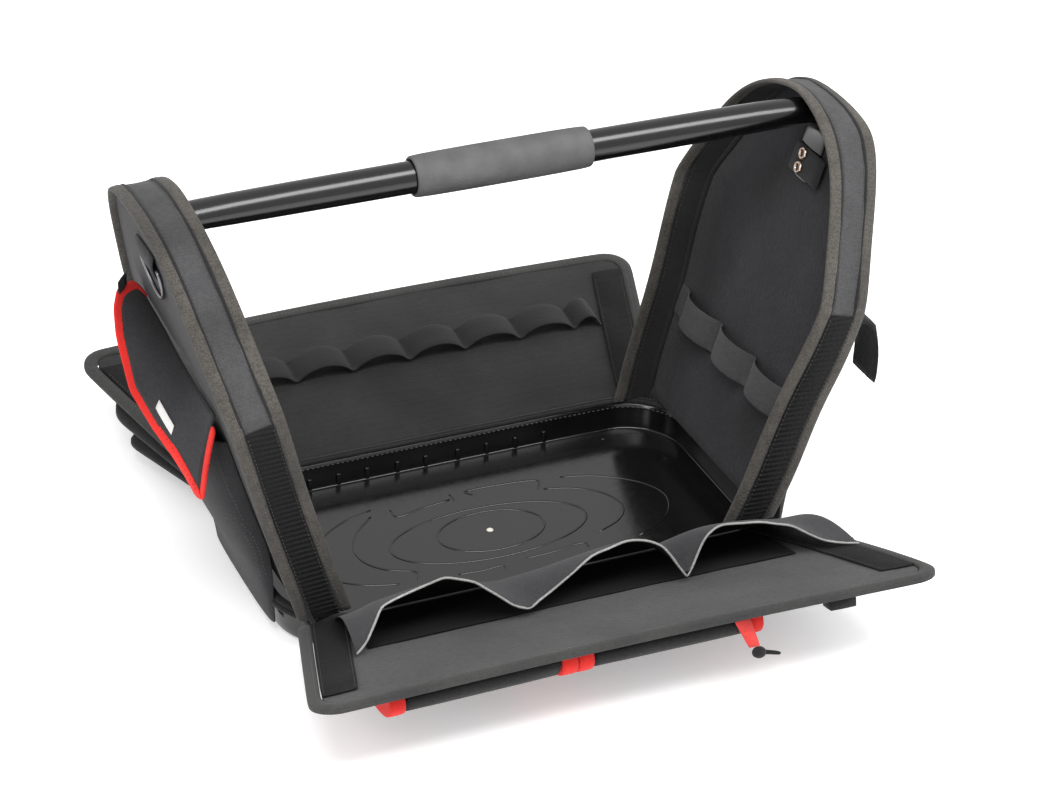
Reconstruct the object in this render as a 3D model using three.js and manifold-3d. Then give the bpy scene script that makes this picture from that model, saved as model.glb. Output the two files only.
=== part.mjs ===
// Open top tool tote: a moulded tray with two leaning padded end panels joined by a
// tubular handle, a padded flap lying open at the front and at the back, and pouches
// on the outer faces. Millimetres, +Z up, X along the tote, origin under the tray.
import * as THREE from 'three';
import { mergeVertices } from 'three/addons/utils/BufferGeometryUtils.js';
import Module from 'manifold-3d';

const wasm = await Module();
wasm.setup();

// Driving dimensions: clearance kept between pieces that touch
const GAP = 0.3;

// Driving dimensions: tray
const TRAY_HALF_LENGTH = 230;
const TRAY_HALF_DEPTH = 123;
const TRAY_CORNER = 58;
const TRAY_FLOOR = 8;
const TRAY_HEIGHT = 34;
const TRAY_WALL = 4;
const TRAY_DRAFT = 3;
const TRAY_FILLET = 4;
const HEM_HEIGHT = 4;
const HEM_WIDTH = 6;

// Driving dimensions: end panels, measured up the slope from the tray hem
const FOOT_HALF_SPAN = 179.7;
const FOOT_TUCK = 3;
const PANEL_HEIGHT = 388.5;
const SHOULDER_HALF_WIDTH = 150.5;
const RIM_DEPTH = 48;
const RIM_THICK = 3.5;
const RIM_BINDING = 11;
const RIM_BINDING_SWELL = 1;
const BOARD_SETBACK = 38;
const BOARD_THICK = 4;
const LEAN_RIGHT_FOOT = 17.6;
const LEAN_RIGHT_TOP = 17.6;
const LEAN_LEFT_FOOT = 18.3;
const LEAN_LEFT_TOP = 12.4;
const HOOK_TOP = 236;
const HOOK_THICK = 1.4;

// Driving dimensions: handle
const TUBE_RADIUS = 15;
const TUBE_CENTRE_HEIGHT = 384.4;
const TUBE_BEND = 36;
const LUG_WIDTH = 40;
const LUG_THICK = 4;
const LUG_LENGTH = 74;
const GRIP_RADIUS = 19.5;
const GRIP_LENGTH = 166;
const GRIP_CENTRE = 7;

// Driving dimensions: handle patches, rivets and ring straps
const PATCH_WIDTH = 55;
const PATCH_SHIFT = -7;
const PATCH_HEIGHT = 28;
const PATCH_FOOT = 306;
const PATCH_THICK = 1.6;
const RIVET_RADIUS = 6;
const RIVET_RISE = 2.6;
const RIVET_MARGIN = 7;
const RIVET_PITCH = 14;
const RIVET_SHIFT = 3;
const RING_HALF = 29;
const RING_DROP = 38;
const RING_WIRE = 2;
const RING_LEVEL = 338;
const STRAP_HALF = 24;
const STRAP_REACH = 13;

// Driving dimensions: flaps. Each has a length, a half width at its free edge, a tilt,
// a slant and a bow of that edge, and an outward flare of its right side
const FLAP_HINGE_HALF = 235;
const FLAP_CORNER = 34;
const FLAP_THICK = 6;
const FLAP_BINDING = 12;
const FLAP_BINDING_THICK = 9;
const FRONT_FLAP = { length: 209, edge: 293, tilt: 15, slant: 6, bow: -11, flare: 9 };
const BACK_FLAP = { length: 219, edge: 300, tilt: 9.5, slant: 2, bow: 9, flare: 0 };
const LOOP_STRIP_WIDTH = 33;
const LOOP_STRIP_THICK = 1.5;

// Driving dimensions: pockets on the front flap and pouches under it
const POCKET_DEPTH = 105;
const POCKET_CLOTH = 1.2;
const POCKET_HALF_SPAN = 252;
const ROLL_LEFT_START = -218;
const ROLL_LENGTH = 170;
const ROLL_INNER = 96;
const ROLL_OUTER = 194;
const ROLL_DROP = 24;
const ROLL_TRIM = 14;
const ROLL_TRIM_SWELL = 1.2;
const TAB_WIDTH = 15;
const TAB_LENGTH = 30;
const TAB_THICK = 1.6;
const TAB_TURN = 10;
const TAB_TUCK = 2;
const KNOT_RADIUS = 5.5;
const KNOT_CORD = 2;
const KNOT_TAIL = 22;
const KNOT_SHIFT = 14;
const WEB_END_PLACE = 184;
const WEB_END_WIDTH = 25;
const WEB_END_DEPTH = 18;
const WEB_END_DROP = 14;

// Driving dimensions: elastic on the back flap and the bellows under it
const BACK_ELASTIC_WIDTH = 31;
const BACK_ELASTIC_PLACE = 121;
const BACK_ELASTIC_END = 219;
const BACK_LAST_LOOP = 27;
const BACK_LOOP_PITCH = 59;
const BACK_LOOP_COUNT = 6;
const BACK_FIRST_LOOP = 46;
const BACK_LOOP_RISE = 14;
const ELASTIC_THICK = 1.5;
const BELLOWS_THICK = 6;
const BELLOWS_START = 8;
const UPPER_LEAF = { reach: 158, half: 290, sink: 5 };
const LOWER_LEAF = { reach: 132, half: 281, sink: 20 };

// Driving dimensions: elastic on the right board
const END_ELASTIC_WIDTH = 31;
const END_ELASTIC_FOOT = 103;
const END_LOOP_PITCH = 70;
const END_LOOP_COUNT = 3;
const END_LOOP_START = 111;
const END_LOOP_RISE = 14;
const END_ELASTIC_LEAD = 17;

// Driving dimensions: pouches on the outer faces of the end panels
const LEFT_POUCH = { foot: 12, top: 206, half: 80, bulge: 35, square: 0.75 };
const RIGHT_POUCH = { foot: 14, top: 196, half: 122, bulge: 26, square: 0.45 };
const POUCH_WALL = 2;
const LEFT_LID_HALF = 86;
const LID_DOME = 9;
const LID_THICK = 2.5;
const LID_TRIM_WIDTH = 9;
const LID_TRIM_THICK = 4;
const LID_TRIM_CLEAR = 2.7;
const TAG_THICK = 1;
const SIDE_TAB_RISE = 12;
const SIDE_TAB_THICK = 2.5;
const RIGHT_STRAP_HEIGHT = 219;
const RIGHT_STRAP_WIDTH = 44;
const RIGHT_STRAP_PLACE = -104;
const RIGHT_STRAP_THICK = 3;

// Half width of the end panel up its slope, as shares of height and of shoulder width
const RIM_OUTLINE = [
  { height: 0.0, inner: 0.807, outer: 0.83 },
  { height: 0.107, inner: 0.85, outer: 0.87 },
  { height: 0.223, inner: 0.867, outer: 0.897 },
  { height: 0.357, inner: 0.894, outer: 0.91 },
  { height: 0.468, inner: 0.95, outer: 0.968 },
  { height: 0.597, inner: 1.0, outer: 0.987 },
  { height: 0.659, inner: 0.963, outer: 0.95 },
  { height: 0.752, inner: 0.844, outer: 0.824 },
  { height: 0.85, inner: 0.711, outer: 0.7 },
  { height: 0.922, inner: 0.548, outer: 0.585 },
  { height: 0.969, inner: 0.346, outer: 0.465 },
  { height: 0.992, inner: 0.146, outer: 0.3 },
];

// Free hem of the front flap's pocket sheet: place along it and rise off the flap
const POCKET_HEM = [
  { along: -0.853, rise: 2.5 },
  { along: -0.801, rise: 8.5 },
  { along: -0.745, rise: 22.3 },
  { along: -0.669, rise: 24.8 },
  { along: -0.593, rise: 26.8 },
  { along: -0.497, rise: 29.3 },
  { along: -0.398, rise: 23.9 },
  { along: -0.321, rise: 14.5 },
  { along: -0.234, rise: 3.2 },
  { along: -0.18, rise: 8.9 },
  { along: -0.112, rise: 13.2 },
  { along: 0.036, rise: 24 },
  { along: 0.173, rise: 27.5 },
  { along: 0.302, rise: 24.2 },
  { along: 0.324, rise: 11 },
  { along: 0.374, rise: 2.5 },
  { along: 0.405, rise: 8 },
  { along: 0.435, rise: 21.5 },
  { along: 0.524, rise: 25.4 },
  { along: 0.661, rise: 23 },
  { along: 0.772, rise: 18 },
  { along: 0.881, rise: 7 },
  { along: 1.0, rise: 2.5 },
];

// Bulge of each end pouch off its board, as shares of its own height and depth
const POUCH_BULGE = [
  { height: 0.0, bulge: 0.12 },
  { height: 0.22, bulge: 0.45 },
  { height: 0.37, bulge: 0.8 },
  { height: 0.64, bulge: 1.0 },
  { height: 0.84, bulge: 0.8 },
  { height: 1.0, bulge: 0.45 },
];

// Left lid from its back end to its front end: place across, height of its fold, and
// how far its lip stands off the board and hangs below the fold
const LEFT_LID = [
  { across: 1.0, fold: 266, out: 10, drop: -17 },
  { across: 0.88, fold: 264, out: 25, drop: -20 },
  { across: 0.7, fold: 261, out: 34, drop: -14 },
  { across: 0.49, fold: 258, out: 39, drop: -1 },
  { across: 0.02, fold: 252, out: 42, drop: 23 },
  { across: -0.41, fold: 247, out: 35, drop: 38 },
  { across: -0.63, fold: 244, out: 28, drop: 50 },
  { across: -0.81, fold: 242, out: 21, drop: 66 },
  { across: -1.0, fold: 239, out: 16, drop: 80 },
];

// Closure strap of the right pouch, from its seam to its free tip
const RIGHT_STRAP = [
  { out: 0, drop: 0 },
  { out: 19, drop: -6 },
  { out: 38, drop: -3 },
  { out: 54, drop: 27 },
  { out: 60, drop: 54 },
];

const LOOKS = {
  tray: { colour: 0x151314, roughness: 0.18, metalness: 0 },
  cloth: { colour: 0x3c3c3e, roughness: 0.92, metalness: 0 },
  darkCloth: { colour: 0x242426, roughness: 0.95, metalness: 0 },
  rim: { colour: 0x6b6b6a, roughness: 0.88, metalness: 0 },
  tape: { colour: 0x6f6d68, roughness: 0.85, metalness: 0 },
  hook: { colour: 0x1f1f20, roughness: 0.95, metalness: 0 },
  tube: { colour: 0x1a1a1c, roughness: 0.22, metalness: 0.4 },
  foam: { colour: 0x4a4a4b, roughness: 0.9, metalness: 0 },
  red: { colour: 0xc4162b, roughness: 0.7, metalness: 0 },
  coral: { colour: 0xd8564f, roughness: 0.7, metalness: 0 },
  rivet: { colour: 0xb08d7c, roughness: 0.3, metalness: 0.9 },
  steel: { colour: 0x77777a, roughness: 0.35, metalness: 0.9 },
  white: { colour: 0xe4e1df, roughness: 0.7, metalness: 0 },
};

const group = new THREE.Group();

const rad = THREE.MathUtils.degToRad;
const mix = (a, b, t) => a + (b - a) * t;

// Adds one named piece, with its faces turned outwards
function addPiece(name, geometry, look) {
  const { colour, roughness, metalness } = LOOKS[look];
  const material = new THREE.MeshStandardMaterial({ color: colour, roughness, metalness });
  const mesh = new THREE.Mesh(geometry, material);
  mesh.name = name;
  group.add(mesh);
  return mesh;
}

// Closed body from corners and triangles, turned outwards by its signed volume
function closedBody(points, triangles) {
  let volume = 0;
  for (const [a, b, c] of triangles) {
    volume += points[a].dot(new THREE.Vector3().crossVectors(points[b], points[c]));
  }
  const turned = volume < 0 ? triangles.map(([a, b, c]) => [a, c, b]) : triangles;
  const geometry = new THREE.BufferGeometry();
  const flat = points.flatMap((p) => [p.x, p.y, p.z]);
  geometry.setAttribute('position', new THREE.Float32BufferAttribute(flat, 3));
  geometry.setIndex(turned.flat());
  return geometry;
}

// Solid skinned over rings of corners; both ends are closed unless the run is a loop
function loftRings(rings, looped = false) {
  const count = rings[0].length;
  const points = rings.flat();
  const triangles = [];
  const spans = looped ? rings.length : rings.length - 1;
  for (let i = 0; i < spans; i += 1) {
    const here = i * count;
    const next = ((i + 1) % rings.length) * count;
    for (let j = 0; j < count; j += 1) {
      const k = (j + 1) % count;
      triangles.push([here + j, here + k, next + k], [here + j, next + k, next + j]);
    }
  }
  if (!looped) {
    for (const [start, flip] of [[0, true], [(rings.length - 1) * count, false]]) {
      const centre = new THREE.Vector3();
      for (let j = 0; j < count; j += 1) centre.addScaledVector(points[start + j], 1 / count);
      const hub = points.push(centre) - 1;
      for (let j = 0; j < count; j += 1) {
        const k = start + ((j + 1) % count);
        triangles.push(flip ? [hub, k, start + j] : [hub, start + j, k]);
      }
    }
  }
  return closedBody(points, triangles);
}

// Thin wall between two grids of corners that face each other
function wallBetween(front, back) {
  const rows = front.length;
  const cols = front[0].length;
  const points = [...front.flat(), ...back.flat()];
  const shift = rows * cols;
  const at = (i, j) => i * cols + j;
  const triangles = [];
  for (let i = 0; i < rows - 1; i += 1) {
    for (let j = 0; j < cols - 1; j += 1) {
      const [a, b, c, d] = [at(i, j), at(i, j + 1), at(i + 1, j + 1), at(i + 1, j)];
      triangles.push([a, b, c], [a, c, d]);
      triangles.push([a + shift, c + shift, b + shift], [a + shift, d + shift, c + shift]);
    }
  }
  const edge = [];
  for (let j = 0; j < cols; j += 1) edge.push(at(0, j));
  for (let i = 1; i < rows; i += 1) edge.push(at(i, cols - 1));
  for (let j = cols - 2; j >= 0; j -= 1) edge.push(at(rows - 1, j));
  for (let i = rows - 2; i > 0; i -= 1) edge.push(at(i, 0));
  edge.forEach((a, n) => {
    const b = edge[(n + 1) % edge.length];
    triangles.push([b, a, a + shift], [b, a + shift, b + shift]);
  });
  return closedBody(points, triangles);
}

// Thin wall on one grid of corners, thickened along the grid's own normals
function wallOn(grid, thickness) {
  const rows = grid.length;
  const cols = grid[0].length;
  const back = grid.map((row, i) => row.map((p, j) => {
    const down = grid[Math.min(i + 1, rows - 1)][j].clone().sub(grid[Math.max(i - 1, 0)][j]);
    const across = row[Math.min(j + 1, cols - 1)].clone().sub(row[Math.max(j - 1, 0)]);
    const normal = down.cross(across).normalize();
    return p.clone().addScaledVector(normal, thickness);
  }));
  return wallBetween(grid, back);
}

// Reads a table column at a place between two of its rows
function readTable(table, key, value, column) {
  const rising = table[table.length - 1][key] > table[0][key];
  const rows = rising ? table : [...table].reverse();
  const place = Math.min(Math.max(value, rows[0][key]), rows[rows.length - 1][key]);
  let i = 0;
  while (i < rows.length - 2 && rows[i + 1][key] < place) i += 1;
  const t = (place - rows[i][key]) / (rows[i + 1][key] - rows[i][key]);
  return mix(rows[i][column], rows[i + 1][column], t);
}

const steps = (count, from = 0, to = 1) =>
  Array.from({ length: count + 1 }, (_, i) => mix(from, to, i / count));
const turnAngles = (count) => Array.from({ length: count }, (_, i) => (360 * i) / count);

// Ends: side +1 is the right end, -1 the left end
const HEM_TOP = TRAY_HEIGHT + GAP + HEM_HEIGHT;
const FOOT_LEVEL = HEM_TOP + GAP;
const ENDS = [
  { name: 'right', side: 1, foot: LEAN_RIGHT_FOOT, top: LEAN_RIGHT_TOP },
  { name: 'left', side: -1, foot: LEAN_LEFT_FOOT, top: LEAN_LEFT_TOP },
];
const RISE_START = FOOT_LEVEL - FOOT_TUCK;
const FOOT_BLEND = 60;

// Point on an end panel: up its slope, across it, and outwards from the inner edge
function endPoint(end, up, across, out) {
  const turn = rad(mix(end.foot, end.top, up / (2 * PANEL_HEIGHT)));
  const lean = rad(mix(end.foot, end.top, up / PANEL_HEIGHT));
  return new THREE.Vector3(
    end.side * (FOOT_HALF_SPAN + up * Math.sin(turn) + out * Math.cos(lean)),
    across,
    RISE_START + up * Math.cos(turn) - out * Math.sin(lean),
  );
}

// The foot is cut level, so that it stands on the tray hem at every depth
function aboveFoot(end, up, out) {
  const lean = rad(end.foot);
  const start = (FOOT_LEVEL - RISE_START + out * Math.sin(lean)) / Math.cos(lean);
  return up + start * Math.max(0, 1 - up / FOOT_BLEND);
}

// Outline of the panel as one arch from foot to foot, inwards by an offset
function archCurve(column) {
  const half = RIM_OUTLINE.map((row) => new THREE.Vector2(
    row[column] * SHOULDER_HALF_WIDTH,
    row.height * PANEL_HEIGHT,
  ));
  const mirrored = [...half].reverse().map((p) => new THREE.Vector2(-p.x, p.y));
  return new THREE.SplineCurve([...half, new THREE.Vector2(0, PANEL_HEIGHT), ...mirrored]);
}

const ARCHES = { inner: archCurve('inner'), outer: archCurve('outer') };

// Point of the arch between its inner and outer outlines, moved off it by an offset
function archPoint(t, out, offset) {
  const share = out / RIM_DEPTH;
  const read = (u) => ARCHES.inner.getPoint(u).lerp(ARCHES.outer.getPoint(u), share);
  const p = read(t);
  const span = 0.004;
  const along = read(Math.min(t + span, 1)).sub(read(Math.max(t - span, 0))).normalize();
  return new THREE.Vector2(p.x + along.y * offset, p.y - along.x * offset);
}

// Corner of a strip that follows the arch
function archCorner(end, t, out, offset) {
  const p = archPoint(t, out, offset);
  return endPoint(end, aboveFoot(end, p.y, out), p.x, out);
}

// Share of the arch at which it reaches a height up the slope
function archShare(up) {
  let low = 0;
  let high = 0.5;
  for (let i = 0; i < 30; i += 1) {
    const t = (low + high) / 2;
    if (ARCHES.inner.getPoint(t).y < up) low = t;
    else high = t;
  }
  return low;
}

const ARCH_STEPS = 36;
const HOOK_SHARE = archShare(HOOK_TOP);
const ARCH = [...steps(ARCH_STEPS), HOOK_SHARE, 1 - HOOK_SHARE].sort((a, b) => a - b);

// Strip bent along the arch, its section given as outward and offset pairs
function archStrip(end, stations, section) {
  return loftRings(stations.map((t) => section.map(([out, off]) => archCorner(end, t, out, off))));
}

// Tray: a moulded dish with drafted walls, a flat underside and round corners
function traySection(grow, height) {
  const ring = [];
  const radius = TRAY_CORNER + grow;
  const corners = [[1, 1, 0], [-1, 1, 90], [-1, -1, 180], [1, -1, 270]];
  for (const [sx, sy, start] of corners) {
    for (const a of steps(7, start, start + 90)) {
      ring.push(new THREE.Vector3(
        sx * (TRAY_HALF_LENGTH - TRAY_CORNER) + radius * Math.cos(rad(a)),
        sy * (TRAY_HALF_DEPTH - TRAY_CORNER) + radius * Math.sin(rad(a)),
        height,
      ));
    }
  }
  return ring;
}

const TRAY_OUTER = TRAY_DRAFT + TRAY_WALL;
addPiece('base_tray', loftRings([
  traySection(0, 0),
  traySection(TRAY_WALL, TRAY_FILLET),
  traySection(TRAY_OUTER, TRAY_HEIGHT),
  traySection(TRAY_DRAFT, TRAY_HEIGHT),
  traySection(0, TRAY_FLOOR + TRAY_FILLET),
  traySection(-TRAY_FILLET * 0.3, TRAY_FLOOR + TRAY_FILLET * 0.3),
  traySection(-TRAY_FILLET, TRAY_FLOOR),
]), 'tray');

const HEM_MIDDLE = TRAY_DRAFT + TRAY_WALL / 2;
const hemRing = (grow, lift) => traySection(HEM_MIDDLE + grow, TRAY_HEIGHT + GAP + lift);
addPiece('tray_hem', loftRings([
  hemRing(-HEM_WIDTH / 2, 0),
  hemRing(HEM_WIDTH / 2, 0),
  hemRing(HEM_WIDTH / 2, HEM_HEIGHT * 0.7),
  hemRing(HEM_WIDTH * 0.25, HEM_HEIGHT),
  hemRing(-HEM_WIDTH * 0.25, HEM_HEIGHT),
  hemRing(-HEM_WIDTH / 2, HEM_HEIGHT * 0.7),
], true), 'darkCloth');

// Ends: a padded strip stood on edge round a board, bound with tape along both edges
function bindingSection(start) {
  const low = -RIM_THICK - RIM_BINDING_SWELL;
  const high = RIM_BINDING_SWELL;
  return [
    [start, mix(low, high, 0.7)],
    [start + RIM_BINDING * 0.25, high],
    [start + RIM_BINDING, high * 0.6],
    [start + RIM_BINDING, mix(low, high, 0.08)],
    [start + RIM_BINDING * 0.25, low],
    [start, mix(low, high, 0.3)],
  ];
}

function outerBindingSection() {
  return bindingSection(0).map(([out, off]) => [RIM_DEPTH - out, off]);
}

function rimSection() {
  const near = RIM_BINDING + GAP;
  const far = RIM_DEPTH - RIM_BINDING - GAP;
  return [[near, 0], [far, 0], [far, -RIM_THICK], [near, -RIM_THICK]];
}

function hookSection() {
  const near = RIM_BINDING + GAP;
  const far = RIM_DEPTH - RIM_BINDING - GAP;
  return [[near, GAP], [far, GAP], [far, GAP + HOOK_THICK], [near, GAP + HOOK_THICK]];
}

// Board that closes the outer side of the rim, inside its outer binding
function endBoard(end) {
  const inset = -RIM_THICK - RIM_BINDING_SWELL - GAP;
  const face = (out) => ARCH.filter((t) => t < 0.48).map((t) => {
    const p = archPoint(t, out, inset);
    const up = aboveFoot(end, p.y, BOARD_SETBACK + BOARD_THICK);
    return steps(4, -1, 1).map((share) => endPoint(end, up, share * p.x, out));
  });
  return wallBetween(face(BOARD_SETBACK), face(BOARD_SETBACK + BOARD_THICK));
}

for (const end of ENDS) {
  const back = ARCH.filter((t) => t <= HOOK_SHARE);
  const front = ARCH.filter((t) => t >= 1 - HOOK_SHARE);
  addPiece(`${end.name}_end_board`, endBoard(end), 'cloth');
  addPiece(`${end.name}_rim`, archStrip(end, ARCH, rimSection()), 'rim');
  addPiece(`${end.name}_inner_binding`, archStrip(end, ARCH, bindingSection(0)), 'tape');
  addPiece(`${end.name}_outer_binding`, archStrip(end, ARCH, outerBindingSection()), 'tape');
  addPiece(`${end.name}_back_hook_strip`, archStrip(end, back, hookSection()), 'hook');
  addPiece(`${end.name}_front_hook_strip`, archStrip(end, front, hookSection()), 'hook');
}

// Handle: a bent tube whose flattened ends lie against the boards
function panelUpAt(end, height, out) {
  let up = 0;
  for (let i = 0; i < 20; i += 1) up += height - endPoint(end, up, 0, out).z;
  return up;
}

function tubeRing(centre, heading, halfWidth, halfThick) {
  const side = new THREE.Vector3(0, 1, 0);
  const over = new THREE.Vector3().crossVectors(heading, side).normalize();
  return turnAngles(16).map((a) => centre.clone()
    .addScaledVector(side, halfWidth * Math.cos(rad(a)))
    .addScaledVector(over, halfThick * Math.sin(rad(a))));
}

const LUG_OUT = BOARD_SETBACK - GAP - LUG_THICK / 2;

function handleHalf(end) {
  const level = panelUpAt(end, TUBE_CENTRE_HEIGHT, LUG_OUT);
  const corner = endPoint(end, level, 0, LUG_OUT);
  const down = endPoint(end, level - LUG_LENGTH, 0, LUG_OUT).sub(corner).normalize();
  const start = new THREE.Vector3(corner.x - end.side * TUBE_BEND, 0, TUBE_CENTRE_HEIGHT);
  const finish = corner.clone().addScaledVector(down, TUBE_BEND);
  const bend = new THREE.QuadraticBezierCurve3(start, corner, finish);
  const rings = steps(6).map((t) => {
    const halfThick = mix(TUBE_RADIUS, LUG_THICK / 2, Math.min(1, t * 1.15) ** 0.8);
    const halfWidth = mix(TUBE_RADIUS, LUG_WIDTH / 2, t);
    const heading = bend.getTangent(t).multiplyScalar(end.side);
    return tubeRing(bend.getPoint(t), heading, halfWidth, halfThick);
  });
  const heading = down.clone().multiplyScalar(end.side);
  for (const [share, width] of [[0.4, 1], [0.9, 1], [1, 0.72]]) {
    const place = endPoint(end, level - mix(TUBE_BEND, LUG_LENGTH, share), 0, LUG_OUT);
    rings.push(tubeRing(place, heading, (width * LUG_WIDTH) / 2, LUG_THICK / 2));
  }
  return rings;
}

addPiece('handle_tube', loftRings([...handleHalf(ENDS[1]).reverse(), ...handleHalf(ENDS[0])]), 'tube');

const gripProfile = [
  [TUBE_RADIUS + GAP, -GRIP_LENGTH / 2],
  [GRIP_RADIUS - 1.5, -GRIP_LENGTH / 2],
  [GRIP_RADIUS, -GRIP_LENGTH / 2 + 2],
  [GRIP_RADIUS, GRIP_LENGTH / 2 - 2],
  [GRIP_RADIUS - 1.5, GRIP_LENGTH / 2],
  [TUBE_RADIUS + GAP, GRIP_LENGTH / 2],
];
const grip = loftRings(turnAngles(24).map((a) => gripProfile.map(([r, x]) => new THREE.Vector3(
  GRIP_CENTRE + x,
  r * Math.cos(rad(a)),
  TUBE_CENTRE_HEIGHT + r * Math.sin(rad(a)),
))), true);
addPiece('foam_grip', grip, 'foam');

// Patches that cover the handle's lugs, with two rivets through each
const PATCH_OUT = LUG_OUT - LUG_THICK / 2 - GAP - PATCH_THICK;
const BOARD_FACE = BOARD_SETBACK + BOARD_THICK;

function handlePatch(end) {
  const face = (out) => steps(2, PATCH_FOOT, PATCH_FOOT + PATCH_HEIGHT).map((up) =>
    steps(2, -0.5, 0.5).map((share) => endPoint(end, up, PATCH_SHIFT + share * PATCH_WIDTH, out)));
  return wallBetween(face(PATCH_OUT), face(PATCH_OUT + PATCH_THICK));
}

// Directions up, across and out at a place on an end panel
function endAxes(end, up, out) {
  const centre = endPoint(end, up, 0, out);
  return {
    centre,
    upward: endPoint(end, up + 1, 0, out).sub(centre).normalize(),
    outward: endPoint(end, up, 0, out + 1).sub(centre).normalize(),
    side: new THREE.Vector3(0, 1, 0),
  };
}

function rivetHead(end, up) {
  const { centre, upward, outward, side } = endAxes(end, up, PATCH_OUT - GAP);
  const levels = [[1, 0], [0.92, 0.35], [0.62, 0.8], [0.22, 1]];
  return loftRings(levels.map(([r, rise]) => turnAngles(12).map((a) => centre.clone()
    .addScaledVector(side, RIVET_SHIFT + r * RIVET_RADIUS * Math.cos(rad(a)))
    .addScaledVector(upward, r * RIVET_RADIUS * Math.sin(rad(a)))
    .addScaledVector(outward, -rise * RIVET_RISE))));
}

// Wire ring shaped like a D that hangs on the outer face from its straight bar
function wireRing(end) {
  const axes = endAxes(end, RING_LEVEL, BOARD_FACE + GAP + RING_WIRE);
  const { centre, upward, outward, side } = axes;
  const bow = steps(14, 180, 360).map((a) => [Math.cos(rad(a)), Math.sin(rad(a))]);
  const outline = [...bow.slice(1, -1), [1, 0], [0.5, 0], [-0.5, 0], [-1, 0]];
  const places = outline.map(([c, s]) => new THREE.Vector2(c * RING_HALF, s * RING_DROP));
  return loftRings(places.map((p, n) => {
    const before = places[(n + places.length - 1) % places.length];
    const after = places[(n + 1) % places.length];
    const spoke = new THREE.Vector2(after.y - before.y, before.x - after.x).normalize();
    return turnAngles(6).map((a) => {
      const reach = RING_WIRE * Math.cos(rad(a));
      return centre.clone()
        .addScaledVector(side, p.x + spoke.x * reach)
        .addScaledVector(upward, p.y + spoke.y * reach)
        .addScaledVector(outward, RING_WIRE * Math.sin(rad(a)));
    });
  }), true);
}

// Webbing sewn to the board above and below the ring's bar, arched over it
function ringStrap(end) {
  const crown = 2 * RING_WIRE + GAP;
  const profile = [
    { up: 1, rise: 0 },
    { up: 0.38, rise: crown },
    { up: -0.38, rise: crown },
    { up: -1, rise: 0 },
  ];
  const face = (lift) => profile.map(({ up, rise }) => steps(2, -1, 1).map((share) => endPoint(
    end,
    RING_LEVEL + up * STRAP_REACH,
    share * STRAP_HALF,
    BOARD_FACE + GAP + rise + lift,
  )));
  return wallBetween(face(0), face(PATCH_THICK));
}

for (const end of ENDS) {
  addPiece(`${end.name}_handle_patch`, handlePatch(end), 'hook');
  addPiece(`${end.name}_ring_strap`, ringStrap(end), 'cloth');
  addPiece(`${end.name}_wire_ring`, wireRing(end), 'steel');
  [0, 1].forEach((n) => {
    const up = PATCH_FOOT + RIVET_MARGIN + n * RIVET_PITCH;
    addPiece(`${end.name}_rivet_${n + 1}`, rivetHead(end, up), 'rivet');
  });
}

// Flaps: the front one lies to negative Y, the back one to positive Y
const HINGE_DEPTH = TRAY_HALF_DEPTH + HEM_MIDDLE + HEM_WIDTH / 2 + GAP * 2;
const HINGE_LEVEL = TRAY_HEIGHT + 1;
const FLAPS = [
  { name: 'front', side: -1, ...FRONT_FLAP },
  { name: 'back', side: 1, ...BACK_FLAP },
];
const [FRONT, BACK] = FLAPS;

// Point on a flap: along X, out from its hinge, and lifted off its middle plane
function flapPoint(flap, x, out, lift) {
  const tilt = rad(flap.tilt);
  const share = x / flap.edge;
  const far = out / flap.length;
  const reach = out + far * (flap.slant * share + flap.bow * (1 - share ** 2));
  const flare = flap.flare * Math.max(0, share) ** 2 * Math.sin(Math.PI * Math.min(1, far));
  return new THREE.Vector3(
    x + flare,
    flap.side * (HINGE_DEPTH + reach * Math.cos(tilt) - lift * Math.sin(tilt)),
    HINGE_LEVEL + reach * Math.sin(tilt) + lift * Math.cos(tilt),
  );
}

// Half width of a flap at a distance from its hinge, with its corners rounded off
function flapHalf(flap, out, inset) {
  const straight = mix(FLAP_HINGE_HALF, flap.edge, out / flap.length) - inset;
  const radius = FLAP_CORNER - inset;
  const into = out - (flap.length - FLAP_CORNER);
  if (into <= 0) return straight;
  return straight - radius + Math.sqrt(Math.max(0, radius ** 2 - into ** 2));
}

// One side of a flap from its hinge round the corner to its free edge
function flapSide(flap, inset) {
  const radius = FLAP_CORNER - inset;
  const base = flap.length - FLAP_CORNER;
  const side = steps(5, 0, base).map((out) => [flapHalf(flap, out, inset), out]);
  const corner = steps(6, 15, 90).map((a) => {
    const out = base + radius * Math.sin(rad(a));
    const lean = mix(FLAP_HINGE_HALF, flap.edge, out / flap.length) - inset;
    return [lean - radius + radius * Math.cos(rad(a)), out];
  });
  return [...side, ...corner];
}

// Outline of a flap from its hinge round its free edge and back, moved inwards
function flapOutline(flap, inset) {
  const right = flapSide(flap, inset);
  const [edge, far] = right[right.length - 1];
  const across = steps(6, 1, -1).slice(1, -1).map((share) => [share * edge, far]);
  const left = [...right].reverse().map(([x, out]) => [-x, out]);
  return [...right, ...across, ...left];
}

function flapBoard(flap) {
  const face = (lift) => flapSide(flap, FLAP_BINDING + GAP).map(([half, out]) =>
    steps(6, -1, 1).map((share) => flapPoint(flap, share * half, out, lift)));
  return wallBetween(face(-FLAP_THICK / 2), face(FLAP_THICK / 2));
}

function flapBinding(flap) {
  const section = [
    [FLAP_BINDING, 0.36],
    [FLAP_BINDING * 0.4, 0.5],
    [0, 0.22],
    [0, -0.22],
    [FLAP_BINDING * 0.4, -0.5],
    [FLAP_BINDING, -0.36],
  ];
  const outlines = section.map(([inset]) => flapOutline(flap, inset));
  return loftRings(outlines[0].map((_, n) => section.map(([, share], k) => {
    const [x, out] = outlines[k][n];
    return flapPoint(flap, x, out, share * FLAP_BINDING_THICK);
  })));
}

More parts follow.
